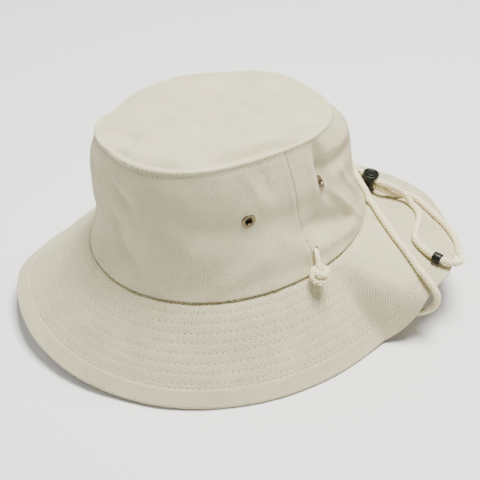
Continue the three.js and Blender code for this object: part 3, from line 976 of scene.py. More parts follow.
@dataclass
class Crown:
    """The crown: a domed top panel with a folded seam lip, and two wall panels."""

    form: HatForm
    cloth: Material
    stitches: StitchMaker
    holes: Sequence[Hole]
    lip_proud: float = 0.9 * MM
    lip_height: float = 1.0 * MM
    lip_spread: float = 1.2 * MM
    # Depth, place and spread of the groove inside the lip.
    lip_groove: Triple = (0.35 * MM, 3.0 * MM, 1.0 * MM)
    top_columns: int = 240
    wall_columns: int = 380
    wall_rows: int = 76
    stitch_drop: float = 1.5 * MM
    top_pitch: float = 3.4 * MM
    side_pitch: float = 2.8 * MM
    top_samples: int = 721
    side_samples: int = 160
    side_levels: tuple[float, float] = (0.02, 0.965)
    # Directions of the back and of the front wall's ribs, in degrees from level, and the top's.
    grains: tuple[float, float] = (-50, 62)
    top_grain: float = 4
    punch_sides: int = 28
    punch_depth: float = 12 * MM
    foot_flare: float = 1.1 * MM
    # Degrees by which the front panel laps over the back one, and how far its edge stands out.
    lap: float = 0.7
    lap_relief: tuple[float, float] = (0.4 * MM, 1.0 * MM)
    # Depth and spread of the sewn-down top edge, and of the ridge and groove of a side seam.
    top_row: tuple[float, float] = (0.3 * MM, 0.9 * MM)
    seam_ridge: tuple[float, float] = (0.2 * MM, 1.0 * MM)
    seam_groove: tuple[float, float] = (1.2 * MM, 0.7 * MM)
    # Size and height of the cloth's unevenness. At the edges: its squeeze, its size and height,
    # and its reach.
    top_noise: Sequence[tuple] = ((32 * MM, 1.1 * MM), (11 * MM, 0.22 * MM))
    wall_noise: Sequence[tuple] = ((30 * MM, 1.3 * MM), (12 * MM, 0.35 * MM))
    gather: tuple = ((1, 1, 0.2), (6 * MM, 0.6 * MM), 13 * MM)
    foot_gather: tuple = ((1, 1, 0.2), (8 * MM, 0.5 * MM), 9 * MM)

    def build(self) -> list[Thing]:
        """Builds the panels and their topstitching, and returns the panels.

        Returns:
            The top panel, the back wall and the front wall.
        """
        form, seam = self.form, self.form.seam_angle
        back_grain, front_grain = self.grains
        top = finish_piece(self.top_panel(), nodes=["crown_top"])
        back = self.wall_panel("back_wall", seam, 180 - seam, 0.0, back_grain)
        back = finish_piece(back, nodes=["crown_back"])
        front = self.wall_panel("front_wall", 180 - seam, 360 + seam, self.lap, front_grain)
        front = finish_piece(front, nodes=["crown_front"])
        level = np.array([1 - (self.stitch_drop + form.dome_thickness) / form.seam_height])
        line, up = self.on_wall(np.linspace(0, 360, self.top_samples), level)
        lines = [(line[:, 0], up[:, 0])]
        sewn = self.stitches.sew("top_seam_stitches", lines, self.top_pitch, TOPSTITCH)
        top_row = finish_piece(sewn)
        levels = np.linspace(*self.side_levels, self.side_samples)
        sides = (self.on_wall(np.array([angle]), levels) for angle in (seam - 1, 181 - seam))
        lines = [(line[0], up[0]) for line, up in sides]
        sewn = self.stitches.sew("side_seam_stitches", lines, self.side_pitch, TOPSTITCH)
        side_rows = finish_piece(sewn)
        return [top, back, front]

    def top_panel(self) -> Thing:
        """Makes the domed top panel, whose edge is the folded lip of the seam.

        Returns:
            The panel.
        """
        form = self.form
        angles = np.arange(self.top_columns) * 360 / self.top_columns
        upper = np.concatenate([np.linspace(0, 0.9, 40), np.linspace(0.905, 0.988, 24)])
        mean = (form.seam.half_width + form.seam.half_length) / 2
        arc = np.linspace(math.pi / 2, -math.pi / 2, 9)
        radius = form.dome_thickness / 2 + self.lip_height / 2
        edge = 1 + (np.cos(arc) * radius + self.lip_proud - radius) / mean
        edge_depth = form.dome_thickness / 2 - self.lip_height / 2 - np.sin(arc) * radius
        reach = np.concatenate([upper, edge, upper[::-1]])
        depth, place, spread = self.lip_groove
        lip = depth * bump(upper - 1 + place / mean, spread / mean)
        lip -= self.lip_height * bump(upper - 1, self.lip_spread / mean)
        depths = np.concatenate([lip, edge_depth, np.full(len(upper), form.dome_thickness)])
        points = form.dome(angles, reach, depths)
        soft = sum(cloth_noise(points, *part) for part in self.top_noise)
        points[..., 2] += soft * smooth_step(np.clip(1 - reach, 0, 1), 0.01, 0.15)[None, :]
        weave = weave_map(points[..., 0], points[..., 1], self.top_grain)
        return make_object("top_panel", loft_mesh("top_panel", points, weave=weave), self.cloth)

    def wall_panel(self, name: str, start: float, end: float, lap: float, grain: float) -> Thing:
        """Makes one half of the crown's wall.

        Args:
            name: The piece's name.
            start: Angle where it starts.
            end: Angle where it ends.
            lap: Degrees by which it laps over the other half at both side seams.
            grain: Direction of its ribs, in degrees from level.

        Returns:
            The panel.
        """
        form = self.form
        angles = np.linspace(start - lap, end + lap, self.wall_columns)
        bottom = form.gap / form.seam_height
        top = 1 - 0.6 * form.dome_thickness / form.seam_height
        levels = bottom + np.linspace(0, 1, self.wall_rows) * (top - bottom)
        section = np.concatenate([levels, levels[::-1]])
        relief = self.puckers(angles, levels)
        faces = [-relief, form.wall_thickness - relief[:, ::-1]]
        if lap > 0:
            near_end = np.minimum(angles - angles[0], angles[-1] - angles)
            rise = column(1 - smooth_step(near_end, 1.2, 3.0))
            faces = [face - height * rise for face, height in zip(faces, self.lap_relief)]
        depth = np.concatenate(faces, axis=1)
        inward = form.wall_outward(angles, section) * depth[..., None]
        points = form.wall_face(angles, section) - inward + form.shift
        run = run_along(form.join.points(angles))
        weave = weave_map(column(run), (section * form.seam_height)[None, :], grain)
        piece = make_object(name, loft_mesh(name, points, closed=False, weave=weave), self.cloth)
        cut_away(piece, self.punches())
        return piece

    def punches(self) -> Mesh:
        """Makes the round punches that cut the holes in the wall.

        Returns:
            One mesh of all the punches.
        """
        work = bmesh.new()
        for middle, direction, radius in self.holes:
            bmesh.ops.create_cone(work, cap_ends=True, segments=self.punch_sides, radius1=radius,
                                  radius2=radius, depth=self.punch_depth,
                                  matrix=placing(middle, direction, Vector((0.3, 0.1, 1))))
        mesh = bpy.data.meshes.new("punches")
        work.to_mesh(mesh)
        work.free()
        return mesh

    def on_wall(self, angles: np.ndarray, levels: np.ndarray) -> tuple[np.ndarray, np.ndarray]:
        """Grids of points on the finished wall and of its outward directions.

        Args:
            angles: Angles in degrees, one for each column.
            levels: Levels, one for each row.

        Returns:
            The points and the unit vectors.
        """
        up = self.form.wall_outward(angles, levels)
        relief = self.puckers(angles, levels)[..., None]
        return self.form.wall_face(angles, levels) + up * relief + self.form.shift, up

    def puckers(self, angles: np.ndarray, levels: np.ndarray) -> np.ndarray:
        """Small relief of the wall's outer face: the sewn-down seams and the cloth's unevenness.

        Args:
            angles: Angles, one for each column.
            levels: Levels, one for each row.

        Returns:
            A grid of heights in metres.
        """
        form = self.form
        up = levels * form.seam_height
        down = (1 - levels) * form.seam_height - form.dome_thickness
        depth, spread = self.top_row
        rows = self.foot_flare * bump(up, 5 * MM) - depth * bump(down - self.stitch_drop, spread)
        result = np.zeros((len(angles), len(levels))) + rows[None, :]
        for seam in (form.seam_angle, 180 - form.seam_angle):
            across = turn_between(angles, seam) * DEGREE
            front = across if seam > 90 else -across
            ridge, groove = self.seam_ridge, self.seam_groove
            result += column(ridge[0] * bump(front - 0.6 * MM, ridge[1])
                             - groove[0] * bump(front + 1.8 * MM, groove[1]))
        face = form.wall_face(angles, levels)
        calm = (smooth_step(levels, 0, 0.15) * smooth_step(1 - levels, 0, 0.12))[None, :]
        for part in self.wall_noise:
            result += cloth_noise(face, *part) * calm
        squeeze, part, reach = self.gather
        strength = np.exp(-down / reach) * smooth_step(down, 0, 4 * MM)
        result += cloth_noise(face * np.array(squeeze), *part) * strength[None, :]
        squeeze, part, reach = self.foot_gather
        return result + cloth_noise(face * np.array(squeeze), *part) * np.exp(-up / reach)[None, :]


@dataclass
class Brim:
    """The wide brim: its doubled cloth, the sewn rows of its front half and the turned hem."""

    form: HatForm
    cloth: Material
    stitches: StitchMaker
    columns: int = 400
    rows: Sequence[float] = (
        8.3 * MM, 14.9 * MM, 21.7 * MM, 28.3 * MM, 35.1 * MM, 42.1 * MM, 48.7 * MM, 55.5 * MM,
    )
    row_pitch: float = 4.4 * MM
    row_start: float = 163
    row_end: float = 377
    hem: float = 58.6 * MM
    hem_pitch: float = 4.0 * MM
    row_samples: int = 700
    hem_samples: int = 1201
    # Depth, place and spread of the groove at the join.
    join_groove: Triple = (1.7 * MM, 0.9 * MM, 1.7 * MM)
    # Depth and spread of the groove of a sewn row, and of the hem's.
    row_groove: tuple[float, float] = (0.24 * MM, 1.0 * MM)
    hem_groove: tuple[float, float] = (0.3 * MM, 0.8 * MM)
    hem_rise: float = 0.35 * MM
    # How much of the relief shows on the rim, and on the lower face.
    rim_share: float = 0.6
    lower_share: float = 0.35
    # Directions of the ribs of the cloth and of the hem's band, in degrees from +X.
    grain: float = -7
    hem_grain: float = 117

    def build(self) -> Thing:
        """Builds the brim and its stitches, and returns the brim.

        Returns:
            The brim's cloth.
        """
        ring = finish_piece(self.ring(), nodes=["brim"])
        angles = np.linspace(self.row_start, self.row_end, self.row_samples)
        lines = [self.line_on_face(angles, row) for row in self.rows]
        rows = self.stitches.sew("brim_rows", lines, self.row_pitch, BRIM_ROW)
        rows = finish_piece(rows)
        lines = [self.line_on_face(np.linspace(0, 360, self.hem_samples), self.hem)]
        hem = finish_piece(self.stitches.sew("hem_stitches", lines, self.hem_pitch, HEM))
        return ring

    def relief(self, angles: np.ndarray, distances: np.ndarray) -> np.ndarray:
        """Small relief of the brim's upper face: sewn rows, hem and unevenness.

        Args:
            angles: Angles, one for each column.
            distances: Distances, one for each row.

        Returns:
            A grid of heights in metres.
        """
        turn = np.asarray(angles) % 360
        inside = np.where(turn < 90, 1 - smooth_step(turn, 11, 19),
                          smooth_step(turn, self.row_start, self.row_start + 6))
        depth, place, spread = self.join_groove
        sewn = np.zeros((len(angles), len(distances)))
        sewn -= (depth * bump(distances - place, spread))[None, :]
        depth, spread = self.row_groove
        for row in self.rows:
            sewn -= depth * bump(distances - row, spread)[None, :] * column(inside)
        edge = self.hem_rise * smooth_step(distances, self.hem - 0.3 * MM, self.hem + 1.6 * MM)
        edge -= self.hem_groove[0] * bump(distances - self.hem, self.hem_groove[1])
        face = self.form.brim(angles, distances, np.zeros_like(distances))
        calm = smooth_step(distances, 0, 12 * MM)[None, :]
        uneven = cloth_noise(face, 30 * MM, 0.9 * MM) * calm + cloth_noise(face, 10 * MM, 0.2 * MM)
        return sewn + edge[None, :] + uneven

    def ring(self) -> Thing:
        """Makes the brim's cloth as one closed ring.

        Returns:
            The ring.
        """
        form = self.form
        angles = np.arange(self.columns) * 360 / self.columns
        thickness, half = form.brim_thickness, form.brim_thickness / 2
        edge = form.brim_width - half
        upper = np.sort([-form.brim_seat, -1.5 * MM, *np.linspace(0, edge, 100), self.hem,
                         self.hem + 0.01 * MM])
        arc = np.linspace(math.pi / 2, -math.pi / 2, 9)[1:-1]
        distances = np.concatenate([upper, edge + np.cos(arc) * half, upper[::-1]])
        fixed = np.concatenate([np.zeros(len(upper)), half - np.sin(arc) * half,
                                np.full(len(upper), thickness)])
        share = np.repeat([1, self.rim_share, self.lower_share], [len(upper), len(arc), len(upper)])
        relief = self.relief(angles, distances) * share[None, :]
        points = form.brim(angles, distances, fixed[None, :] - relief)
        points[..., 2] = np.maximum(points[..., 2], 0.0)
        outward = form.join.outward(angles)[:, None, :]
        flat = form.join.points(angles)[:, None, :] + outward * distances[None, :, None]
        body, band = (weave_map(flat[..., 0], flat[..., 1], grain)
                      for grain in (self.grain, self.hem_grain))
        weave = np.where((distances > self.hem + 0.005 * MM)[None, :, None], band, body)
        return make_object("brim_cloth", loft_mesh("brim_cloth", points, weave=weave), self.cloth)

    def line_on_face(self, angles: np.ndarray, distance: float) -> tuple[np.ndarray, np.ndarray]:
        """A line round the brim's upper face, and the face's directions there.

        Args:
            angles: Angles in degrees.
            distance: Distance from the join.

        Returns:
            The points and the unit vectors.
        """
        at = np.array([distance])
        points = self.form.brim(angles, at, -self.relief(angles, at))[:, 0]
        return points, self.form.brim_up(angles, at)[:, 0]


@dataclass
class Eyelets:
    """Brass vent eyelets in pairs either side of the side seams."""

    form: HatForm
    brass: Material
    flange: float = 5.1 * MM
    hole: float = 2.2 * MM
    barrel: float = 2.75 * MM
    washer: float = 4.2 * MM
    plate: float = 0.8 * MM
    face: float = 0.3 * MM
    # Degrees from the side seam, and level on the wall.
    front: tuple[float, float] = (18.8, 0.565)
    back: tuple[float, float] = (17.0, 0.62)

    def places(self) -> dict[str, tuple[Vector, Vector]]:
        """Finds the place and outward direction of each eyelet, by its CAD node.

        Returns:
            The point on the wall and the direction, for each node.
        """
        seam = self.form.seam_angle
        spots = {
            "eyelet_left_front": (seam - self.front[0], self.front[1]),
            "eyelet_left_back": (seam + self.back[0], self.back[1]),
            "eyelet_right_back": (180 - seam - self.back[0], self.back[1]),
            "eyelet_right_front": (180 - seam + self.front[0], self.front[1]),
        }
        found = {}
        for node, (angle, level) in spots.items():
            at = np.array([angle]), np.array([level])
            found[node] = (Vector(self.form.wall_face(*at)[0, 0] + self.form.shift),
                           Vector(self.form.wall_outward(*at)[0, 0]))
        return found

    def build(self) -> None:
        """Builds the four eyelets, each with a rolled face and a flat back washer."""
        back = -self.form.wall_thickness - 0.5 * MM
        under, top = back - self.plate, self.face + self.plate
        profile = [
            (self.hole, under, 0.2 * MM), (self.washer, under, 0.3 * MM),
            (self.washer, back, 0.2 * MM), (self.barrel, back, 0), (self.barrel, self.face, 0),
            (self.flange, self.face, 0.15 * MM),
            (self.flange - 0.1 * MM, self.face + 0.5 * MM, 0.3 * MM),
            (self.flange - 1.3 * MM, top + 0.2 * MM, 0.7 * MM),
            (self.hole + 0.6 * MM, top - 0.1 * MM, 0.5 * MM),
            (self.hole, self.face - 0.2 * MM, 0.4 * MM),
        ]
        for node, (point, outward) in self.places().items():
            mesh = turned_mesh(f"{node}_brass", profile, 48)
            mesh.transform(placing(point, outward, Vector((0, 0, 1))))
            finish_piece(make_object(f"{node}_brass", mesh, self.brass), nodes=[node])


class Route:
    """A smooth line through chosen points, in the shared frame."""

    curve_steps = 40
    # Settling: its rounds, the samples that it smooths over, how far under a face a sample is still
    # lifted in cord radii, how level a face has to be to carry it, and the share of a gap closed.
    rounds, window, under, level, closed = 3, 9, 1.2, 0.25, 0.8
    # Easing: its rounds, and the share of a tight bend that one round takes off.
    ease_rounds, ease_share = 30, 0.1

    def __init__(self, points: Sequence[Sequence[float]], step: float = 0.5 * MM) -> None:
        """Passes a smooth curve through points in metres, and samples it at even steps.

        Args:
            points: The chosen points in metres.
            step: The distance from sample to sample.
        """
        line = self.spline(np.array(points, float))
        run = run_along(line)
        count = max(4, int(round(run[-1] / step)) + 1)
        self.line = read_line(np.linspace(0, run[-1], count), run, line)

    @staticmethod
    def spline(points: np.ndarray) -> np.ndarray:
        """Close samples of the centripetal curve through the points.

        Args:
            points: The chosen points.

        Returns:
            The samples.
        """

        def mix(a: np.ndarray, b: np.ndarray, start: float, end: float) -> np.ndarray:
            """Blends from a at start to b at end."""
            return (end - t) / (end - start) * a + (t - start) / (end - start) * b

        ends = [2 * points[0] - points[1], 2 * points[-1] - points[-2]]
        padded = np.vstack([ends[0], points, ends[1]])
        samples = []
        for i in range(len(padded) - 3):
            p0, p1, p2, p3 = near = padded[i:i + 4]
            steps = np.sqrt(np.linalg.norm(np.diff(near, axis=0), axis=1))
            t0, t1, t2, t3 = np.concatenate([[0], np.cumsum(steps)])
            t = np.linspace(t1, t2, Route.curve_steps, endpoint=False)[:, None]
            a1, a2, a3 = mix(p0, p1, t0, t1), mix(p1, p2, t1, t2), mix(p2, p3, t2, t3)
            samples.append(mix(mix(a1, a2, t0, t2), mix(a2, a3, t1, t3), t1, t2))
        return np.vstack([*samples, points[-1:]])

    @property
    def length(self) -> float:
        """The line's length in metres."""
        return float(run_along(self.line)[-1])

    def settle(self, cloth: Sequence[Thing], radius: float, free: int, reach: float) -> None:
        """Lays the line on the cloth and the floor, so that a cord just touches them.

        Args:
            cloth: The pieces that carry it.
            radius: The cord's radius.
            free: Samples left alone at each end.
            reach: How far above the cloth a sample may be and still be laid on it.
        """
        graph = bpy.context.evaluated_depsgraph_get()
        trees = [BVHTree.FromObject(piece, graph) for piece in cloth]
        kernel, half = np.ones(self.window) / self.window, self.window // 2
        for _ in range(self.rounds):
            moved = self.line.copy()
            for i in range(free, len(moved) - free):
                here = Vector(moved[i])
                for tree in trees:
                    near, normal, _, distance = tree.find_nearest(here, radius * 3)
                    if near is None:
                        continue
                    above = (here - near).dot(normal) > 0
                    if not above and distance > radius * self.under:
                        continue
                    away = distance if above else -distance
                    lies = normal.z > self.level and away < radius + reach
                    if away < radius or lies:
                        here = here + normal * (radius - away) * self.closed
                moved[i] = here
            padded = np.pad(moved, ((half, half), (0, 0)), mode="edge")
            smooth = [np.convolve(padded[:, k], kernel, "valid") for k in range(3)]
            smooth = np.stack(smooth, axis=-1)
            smooth[:free], smooth[len(smooth) - free:] = moved[:free], moved[len(moved) - free:]
            smooth[:, 2] = np.maximum(smooth[:, 2], radius)
            self.line = smooth

    def ease(self, least: float, start: int, reach: int = 7) -> None:
        """Opens the bends that are tighter than the cord takes.

        Args:
            least: The least radius that a bend may have.
            start: Samples left alone at the start.
            reach: Samples over which a bend is measured, to each side.
        """
        kernel = np.ones(2 * reach + 1) / (2 * reach + 1)
        for _ in range(self.ease_rounds):
            a, b, c = self.line[:-2 * reach], self.line[reach:-reach], self.line[2 * reach:]
            sides = [np.linalg.norm(v, axis=1) for v in (b - a, c - b, c - a)]
            area = np.linalg.norm(np.cross(b - a, c - a), axis=1) / 2
            tight = np.prod(sides, axis=0) < least * 4 * area
            tight[:start] = False
            if not tight.any():
                break
            pull = np.convolve(np.pad(tight.astype(float), reach, mode="edge"), kernel, "valid")
            self.line[reach:-reach] += self.ease_share * pull[:, None] * ((a + c) / 2 - b)


@dataclass
class BraidedCord:
    """A round braid of interlaced strands along a route."""

    material: Material
    radius: float = 2.62 * MM
    strands: int = 6
    lay: float = 3.4 * MM
    relief: float = 0.8 * MM
    sides: int = 42

    def tube(self, name: str, line: np.ndarray, widths: np.ndarray | float = 1.0) -> Thing:
        """Makes the braid along a line.

        Args:
            name: The piece's name.
            line: The line's points, close together.
            widths: The share of its full radius at each point, where it is pulled thin.

        Returns:
            The piece.
        """
        tangent = unit(np.gradient(line, axis=0))
        normal = np.empty_like(line)
        normal[0] = unit(np.cross(tangent[0], [0.3, 0.2, 1.0]))
        for i in range(1, len(line)):
            normal[i] = unit(normal[i - 1] - tangent[i] * np.dot(normal[i - 1], tangent[i]))
        side = np.cross(tangent, normal)
        turn = np.arange(self.sides) * 2 * math.pi / self.sides
        height = self.strand_height(turn[None, :], column(run_along(line)))
        r = (self.radius - self.relief * (1 - height)) * (np.ones(len(line)) * widths)[:, None]
        around = (np.cos(turn)[None, :, None] * normal[:, None, :]
                  + np.sin(turn)[None, :, None] * side[:, None, :])
        points = line[:, None, :] + around * r[..., None]
        mesh = loft_mesh(name, points, closed=False, middles=line[[0, -1]])
        layer = mesh.attributes.new("strand_height", "FLOAT", "POINT")
        layer.data.foreach_set("value", np.append(height.ravel(), [0.3, 0.3]).astype(np.float32))
        return make_object(name, mesh, self.material)

    def strand_height(self, turn: np.ndarray, run: np.ndarray) -> np.ndarray:
        """Height of the interlaced strands, from 0 in the gaps to 1 on their backs.

        Args:
            turn: Angles round the cord.
            run: Distances along it.

        Returns:
            The heights.
        """
        a = self.strands * turn / (2 * math.pi) + run / self.lay
        b = self.strands * turn / (2 * math.pi) - run / self.lay
        i, j = np.floor(a), np.floor(b)
        across, along = a - i - 0.5, b - j - 0.5
        swap = (i + j) % 2 == 1
        across, along = np.where(swap, along, across), np.where(swap, across, along)
        back = np.clip(np.cos(math.pi * across), 0, 1) ** 0.8
        return back * (0.55 + 0.45 * np.cos(math.pi * along))


@dataclass
class CordLock:
    """The sprung cord lock: its barrel and its push button."""

    form: HatForm
    finish: Material
    base: Triple = (34.8, 105.5, 58.2)
    axis: Triple = (0.11, 0.06, 0.99)
    across: Triple = (1, 0.2, 0)
    radius: float = 6.2 * MM
    height: float = 13.5 * MM
    bore: float = 4.95 * MM
    floor: float = 1.2 * MM
    button: float = 14.4 * MM
    plunger: float = 4.6 * MM
    slot: float = 5.5 * MM
    low_strand: float = 3.9 * MM
    high_strand: float = 9.15 * MM
    travel: float = 2 * MM
    stations: tuple[float, ...] = (-7 * MM, -3.2 * MM, 3.2 * MM, 7 * MM)
    # Sections of the slot's cutter: place as a share of the radius, and how much wider it is.
    slot_flare: Sequence[tuple] = (
        (-2, 1.12), (-0.96, 1.06), (-0.8, 1.0), (0.8, 1.0), (0.96, 1.06), (2, 1.12),
    )
    pieces: list[Thing] = field(default_factory=list)

    def place(self) -> Matrix:
        """The placing of the lock's parts, made about Z with their strands along X."""
        base = Vector(np.array(self.base) * MM + self.form.shift)
        return placing(base, Vector(self.axis), Vector(self.across))

    def strand(self, height: float) -> list[np.ndarray]:
        """Points of the straight stretch of the strand at a height above the lock's base."""
        return [np.array(self.place() @ Vector((along, 0, height))) for along in self.stations]

    def build(self) -> None:
        """Builds the barrel and the plunger."""
        self.pieces.append(finish_piece(self.barrel(), nodes=["toggle_barrel"]))
        self.pieces.append(finish_piece(self.push_button(), body=PLUNGER_BODY,
                                        nodes=["toggle_plunger"]))

    def turned(self, name: str, profile: Sequence[Triple], sides: int, cutter: Mesh) -> Thing:
        """Turns a part of the lock from its profile, cuts it and puts it in place.

        Args:
            name: The piece's name.
            profile: Radius, height and corner radius of each point.
            sides: Number of sides.
            cutter: The shape that is cut out of it.

        Returns:
            The piece.
        """
        piece = make_object(name, turned_mesh(name, profile, sides), self.finish)
        cut_away(piece, cutter)
        piece.data.transform(self.place())
        return piece

    def barrel(self) -> Thing:
        """Makes the barrel: a cup with a slot for the strands.

        Returns:
            The barrel.
        """
        r, h = self.radius, self.height
        profile = [
            (0, 0, 0), (r - 0.2 * MM, 0, 0.9 * MM), (r, 1.4 * MM, 0.5 * MM),
            (r, h - 3 * MM, 0.3 * MM),
            (r - 0.35 * MM, h - 2.6 * MM, 0.2 * MM), (r - 0.35 * MM, h - 2.2 * MM, 0.2 * MM),
            (r, h - 1.8 * MM, 0.3 * MM), (r - 0.1 * MM, h, 0.7 * MM), (self.bore, h, 0.3 * MM),
            (self.bore, self.floor, 0.3 * MM), (0, self.floor, 0),
        ]
        half, arc = self.slot / 2, np.linspace(0, math.pi, 17)
        outline = np.array([(math.cos(t) * half * side, strand + math.sin(t) * half * side)
                            for side, strand in ((1, self.high_strand), (-1, self.low_strand))
                            for t in arc])
        middle = (self.high_strand + self.low_strand) / 2
        sections = [np.stack([np.full(len(outline), x * r), outline[:, 0] * grow,
                              middle + (outline[:, 1] - middle) * (1 + (grow - 1) * 0.5)], axis=-1)
                    for x, grow in self.slot_flare]
        cutter = loft_mesh("slot_shape", np.array(sections), closed=False)
        return self.turned("lock_barrel", profile, 72, cutter)

    def push_button(self) -> Thing:
        """Makes the plunger: a dished button on two legs that straddle the strands.

        Returns:
            The plunger.
        """
        foot = self.floor + self.travel + self.form.gap
        roof = self.high_strand + 2.4 * MM + self.travel + self.form.gap
        r, top = self.plunger, self.button
        profile = [
            (0, foot, 0), (r, foot, 0.2 * MM), (r, top, 0.6 * MM), (r - 1.0 * MM, top, 0.4 * MM),
            (r - 1.9 * MM, top - 0.35 * MM, 0.6 * MM), (0, top - 0.45 * MM, 0),
        ]
        box = bpy.data.meshes.new("leg_gap")
        work = bmesh.new()
        bmesh.ops.create_cube(work, size=1)
        bmesh.ops.scale(work, vec=(4 * r, self.slot, 2 * (roof - foot)), verts=work.verts)
        bmesh.ops.translate(work, vec=(0, 0, foot), verts=work.verts)
        work.to_mesh(box)
        work.free()
        return self.turned("lock_button", profile, 64, box)


@dataclass
class CordBead:
    """The black bead where the cord's two halves meet."""

    form: HatForm
    finish: Material
    middle: Triple = (122, 93.4, 51)
    axis: Triple = (0.96, 0.27, -0.06)
    radius: float = 3.85 * MM
    bore: float = 2.6 * MM
    length: float = 6.4 * MM
    straight: float = 4.6 * MM
    piece: Thing | None = None

    def point(self, along: float) -> np.ndarray:
        """A point on the bead's axis, by its distance from the middle in metres."""
        return np.array(self.middle) * MM + self.form.shift + unit(np.array(self.axis)) * along

    def build(self) -> None:
        """Builds the bead."""
        half, r = self.length / 2, self.radius
        profile = [(self.bore, -half, 0.4 * MM), (r, -half, 0.9 * MM), (r, half, 0.9 * MM),
                   (self.bore, half, 0.4 * MM)]
        mesh = turned_mesh("cord_bead", profile, 48)
        mesh.transform(placing(Vector(self.point(0)), Vector(self.axis), Vector((0, 0, 1))))
        self.piece = finish_piece(make_object("cord_bead", mesh, self.finish),
                                  nodes=["bead"])


@dataclass
class ChinCord:
    """The chin cord: two stretches of braid that meet in the bead, and their stop knots."""

    form: HatForm
    finish: Material
    lock: CordLock
    bead: CordBead
    diameter: float = 4.8 * MM
    knot_radius: float = 2.45 * MM
    hole_radius: float = 2.5 * MM
    # Start, end and share of the stretch that is pulled thin, and how much the lock pinches.
    stub: Triple = (1.5 * MM, 13 * MM, 0.74)
    pinch: float = 0.14
    least_bend: float = 2.15

    # The stop knot's turns in millimetres: across, up along the cord, and out of the wall.
    knot_turns: Sequence[Triple] = (
        (0, 7.4, 0), (0, 4.2, 0), (0.5, 0.3, -1.4), (3.4, -3.2, -0.9), (0.4, -5.0, 0.6),
        (-3.6, -3.6, 1.2), (-5.0, 0.4, 1.2), (-3.3, 4.2, 0.6), (0.2, 4.6, -2.6), (3.8, 4.1, -1.0),
        (5.0, 1.6, 0.8), (2.8, -0.7, 2.5), (-0.4, 0.2, 2.9), (-2.2, 1.6, 2.4),
    )
    # Each half's points in millimetres about the crown's centre, from its knot to the lock.
    left_start: Sequence[Triple] = (
        (91.3, 9, 66.5), (88, 10.7, 69.8), (83, 13.1, 72.4), (75.5, 15, 70), (71.6, 15.6, 59),
        (69.5, 18, 17), (79, 27, 4), (97, 47, 2.8), (113, 60, 6), (127, 68.5, 15.5),
        (137, 74, 22.5), (141.2, 76.3, 30), (141.2, 76.4, 38.5), (128, 75.2, 48.2),
        (98.3, 80.2, 55.5), (64, 89.6, 58.3), (46.3, 94.3, 61), (33.2, 97.4, 68),
        (20, 102.6, 71.5), (6, 107, 69.5), (-8, 110, 64.5), (-21, 109.5, 61), (-31, 110, 59),
        (-39, 116, 55.5), (-39.5, 124.5, 51), (-32, 130, 48), (-20, 127, 50.5), (-5, 117.8, 57.8),
        (6, 113.5, 62), (16.5, 107.8, 65.4),
    )
    right_start: Sequence[Triple] = (
        (-92.2, 9, 66.5), (-89, 10.7, 69.8), (-84.2, 13.1, 72.4), (-76.8, 15, 70),
        (-72.8, 15.8, 59), (-68.5, 19, 18), (-68, 32, 4.5), (-66, 60, 2.8), (-62, 100, 2.8),
        (-60, 132, 3), (-62.5, 150, 5.5), (-64.5, 157, 13), (-61, 155, 21), (-50, 148, 27.5),
        (-32, 141, 41), (-18.5, 133.3, 46), (-6.5, 123.8, 52.6), (6, 116.6, 56.5),
        (16.5, 108.6, 59.8),
    )
    # The same from the lock to the bead.
    left_end: Sequence[Triple] = (
        (47.2, 115.6, 61.7), (53, 126, 52.5), (61, 130, 45.9), (75, 122.5, 46.4),
        (88.3, 105.4, 50.1), (98.5, 94.8, 52), (109, 92, 51.9),
    )
    right_end: Sequence[Triple] = (
        (46.2, 114.6, 56), (47, 124.5, 50.3), (46.5, 133, 46.2), (51, 140, 42.1),
        (68.7, 140.7, 39.6), (92.2, 135.1, 39.5), (111.3, 126.2, 41.4), (124.5, 115.8, 43.8),
        (131.5, 107.5, 46), (133, 100.5, 48.6), (130.6, 96.6, 50.1),
    )

    def points(self, side: str) -> list[np.ndarray]:
        """The chosen points of the left or the right half, in the shared frame.

        Args:
            side: The half: left or right.

        Returns:
            The points, from the stop knot to the middle of the bead.
        """
        lock, bead = self.lock, self.bead
        if side == "left":
            start, end, height, into = self.left_start, self.left_end, lock.high_strand, -1
        else:
            start, end, height, into = self.right_start, self.right_end, lock.low_strand, 1
        first, second = ([np.array(p) * MM + self.form.shift for p in part]
                         for part in (start, end))
        inside = [bead.point(into * along) for along in (bead.straight, 0.15 * MM)]
        return first + lock.strand(height) + second + inside

    def build(self, cloth: Sequence[Thing]) -> None:
        """Args:
            cloth: The pieces that carry the cord.
        """
        braid = BraidedCord(self.finish)
        for side in ("left", "right"):
            route = Route(self.points(side))
            for _ in range(2):
                route.settle(cloth, braid.radius, free=50, reach=1.2 * MM)
                route.ease(self.least_bend * self.diameter, start=22)
            piece = braid.tube(f"cord_{side}", route.line, self.widths(route.line))
            piece = finish_piece(piece, nodes=[f"chin_cord_{side}"])
            goes_with = [finish_piece(self.knot(side, route.line), nodes=[f"knot_{side}"])]
            if side == "left":
                goes_with += [*self.lock.pieces, self.bead.piece]
            LOG.info("cord_%s is %.3f m long", side, route.length)

    def widths(self, line: np.ndarray) -> np.ndarray:
        """How thin the cord is at its stub and in the lock, as a share at each point.

        Args:
            line: The cord's line.

        Returns:
            A share of the full radius for each point.
        """
        start, end, share = self.stub
        run, r, half = run_along(line), self.lock.radius, self.lock.height / 2
        pulled = smooth_step(run, start - 1.5 * MM, start + 1 * MM)
        pulled = pulled * (1 - smooth_step(run, end, end + 5 * MM))
        inside = np.array(self.lock.place().inverted()) @ np.vstack([line.T, np.ones(len(line))])
        from_axis = np.linalg.norm(inside[:2], axis=0)
        near = (np.abs(inside[2] - half) < half) & (from_axis < r * 1.4)
        pinched = np.where(near, 1 - smooth_step(from_axis, r * 0.7, r * 1.2), 0)
        return 1 - (1 - share) * pulled - self.pinch * pinched

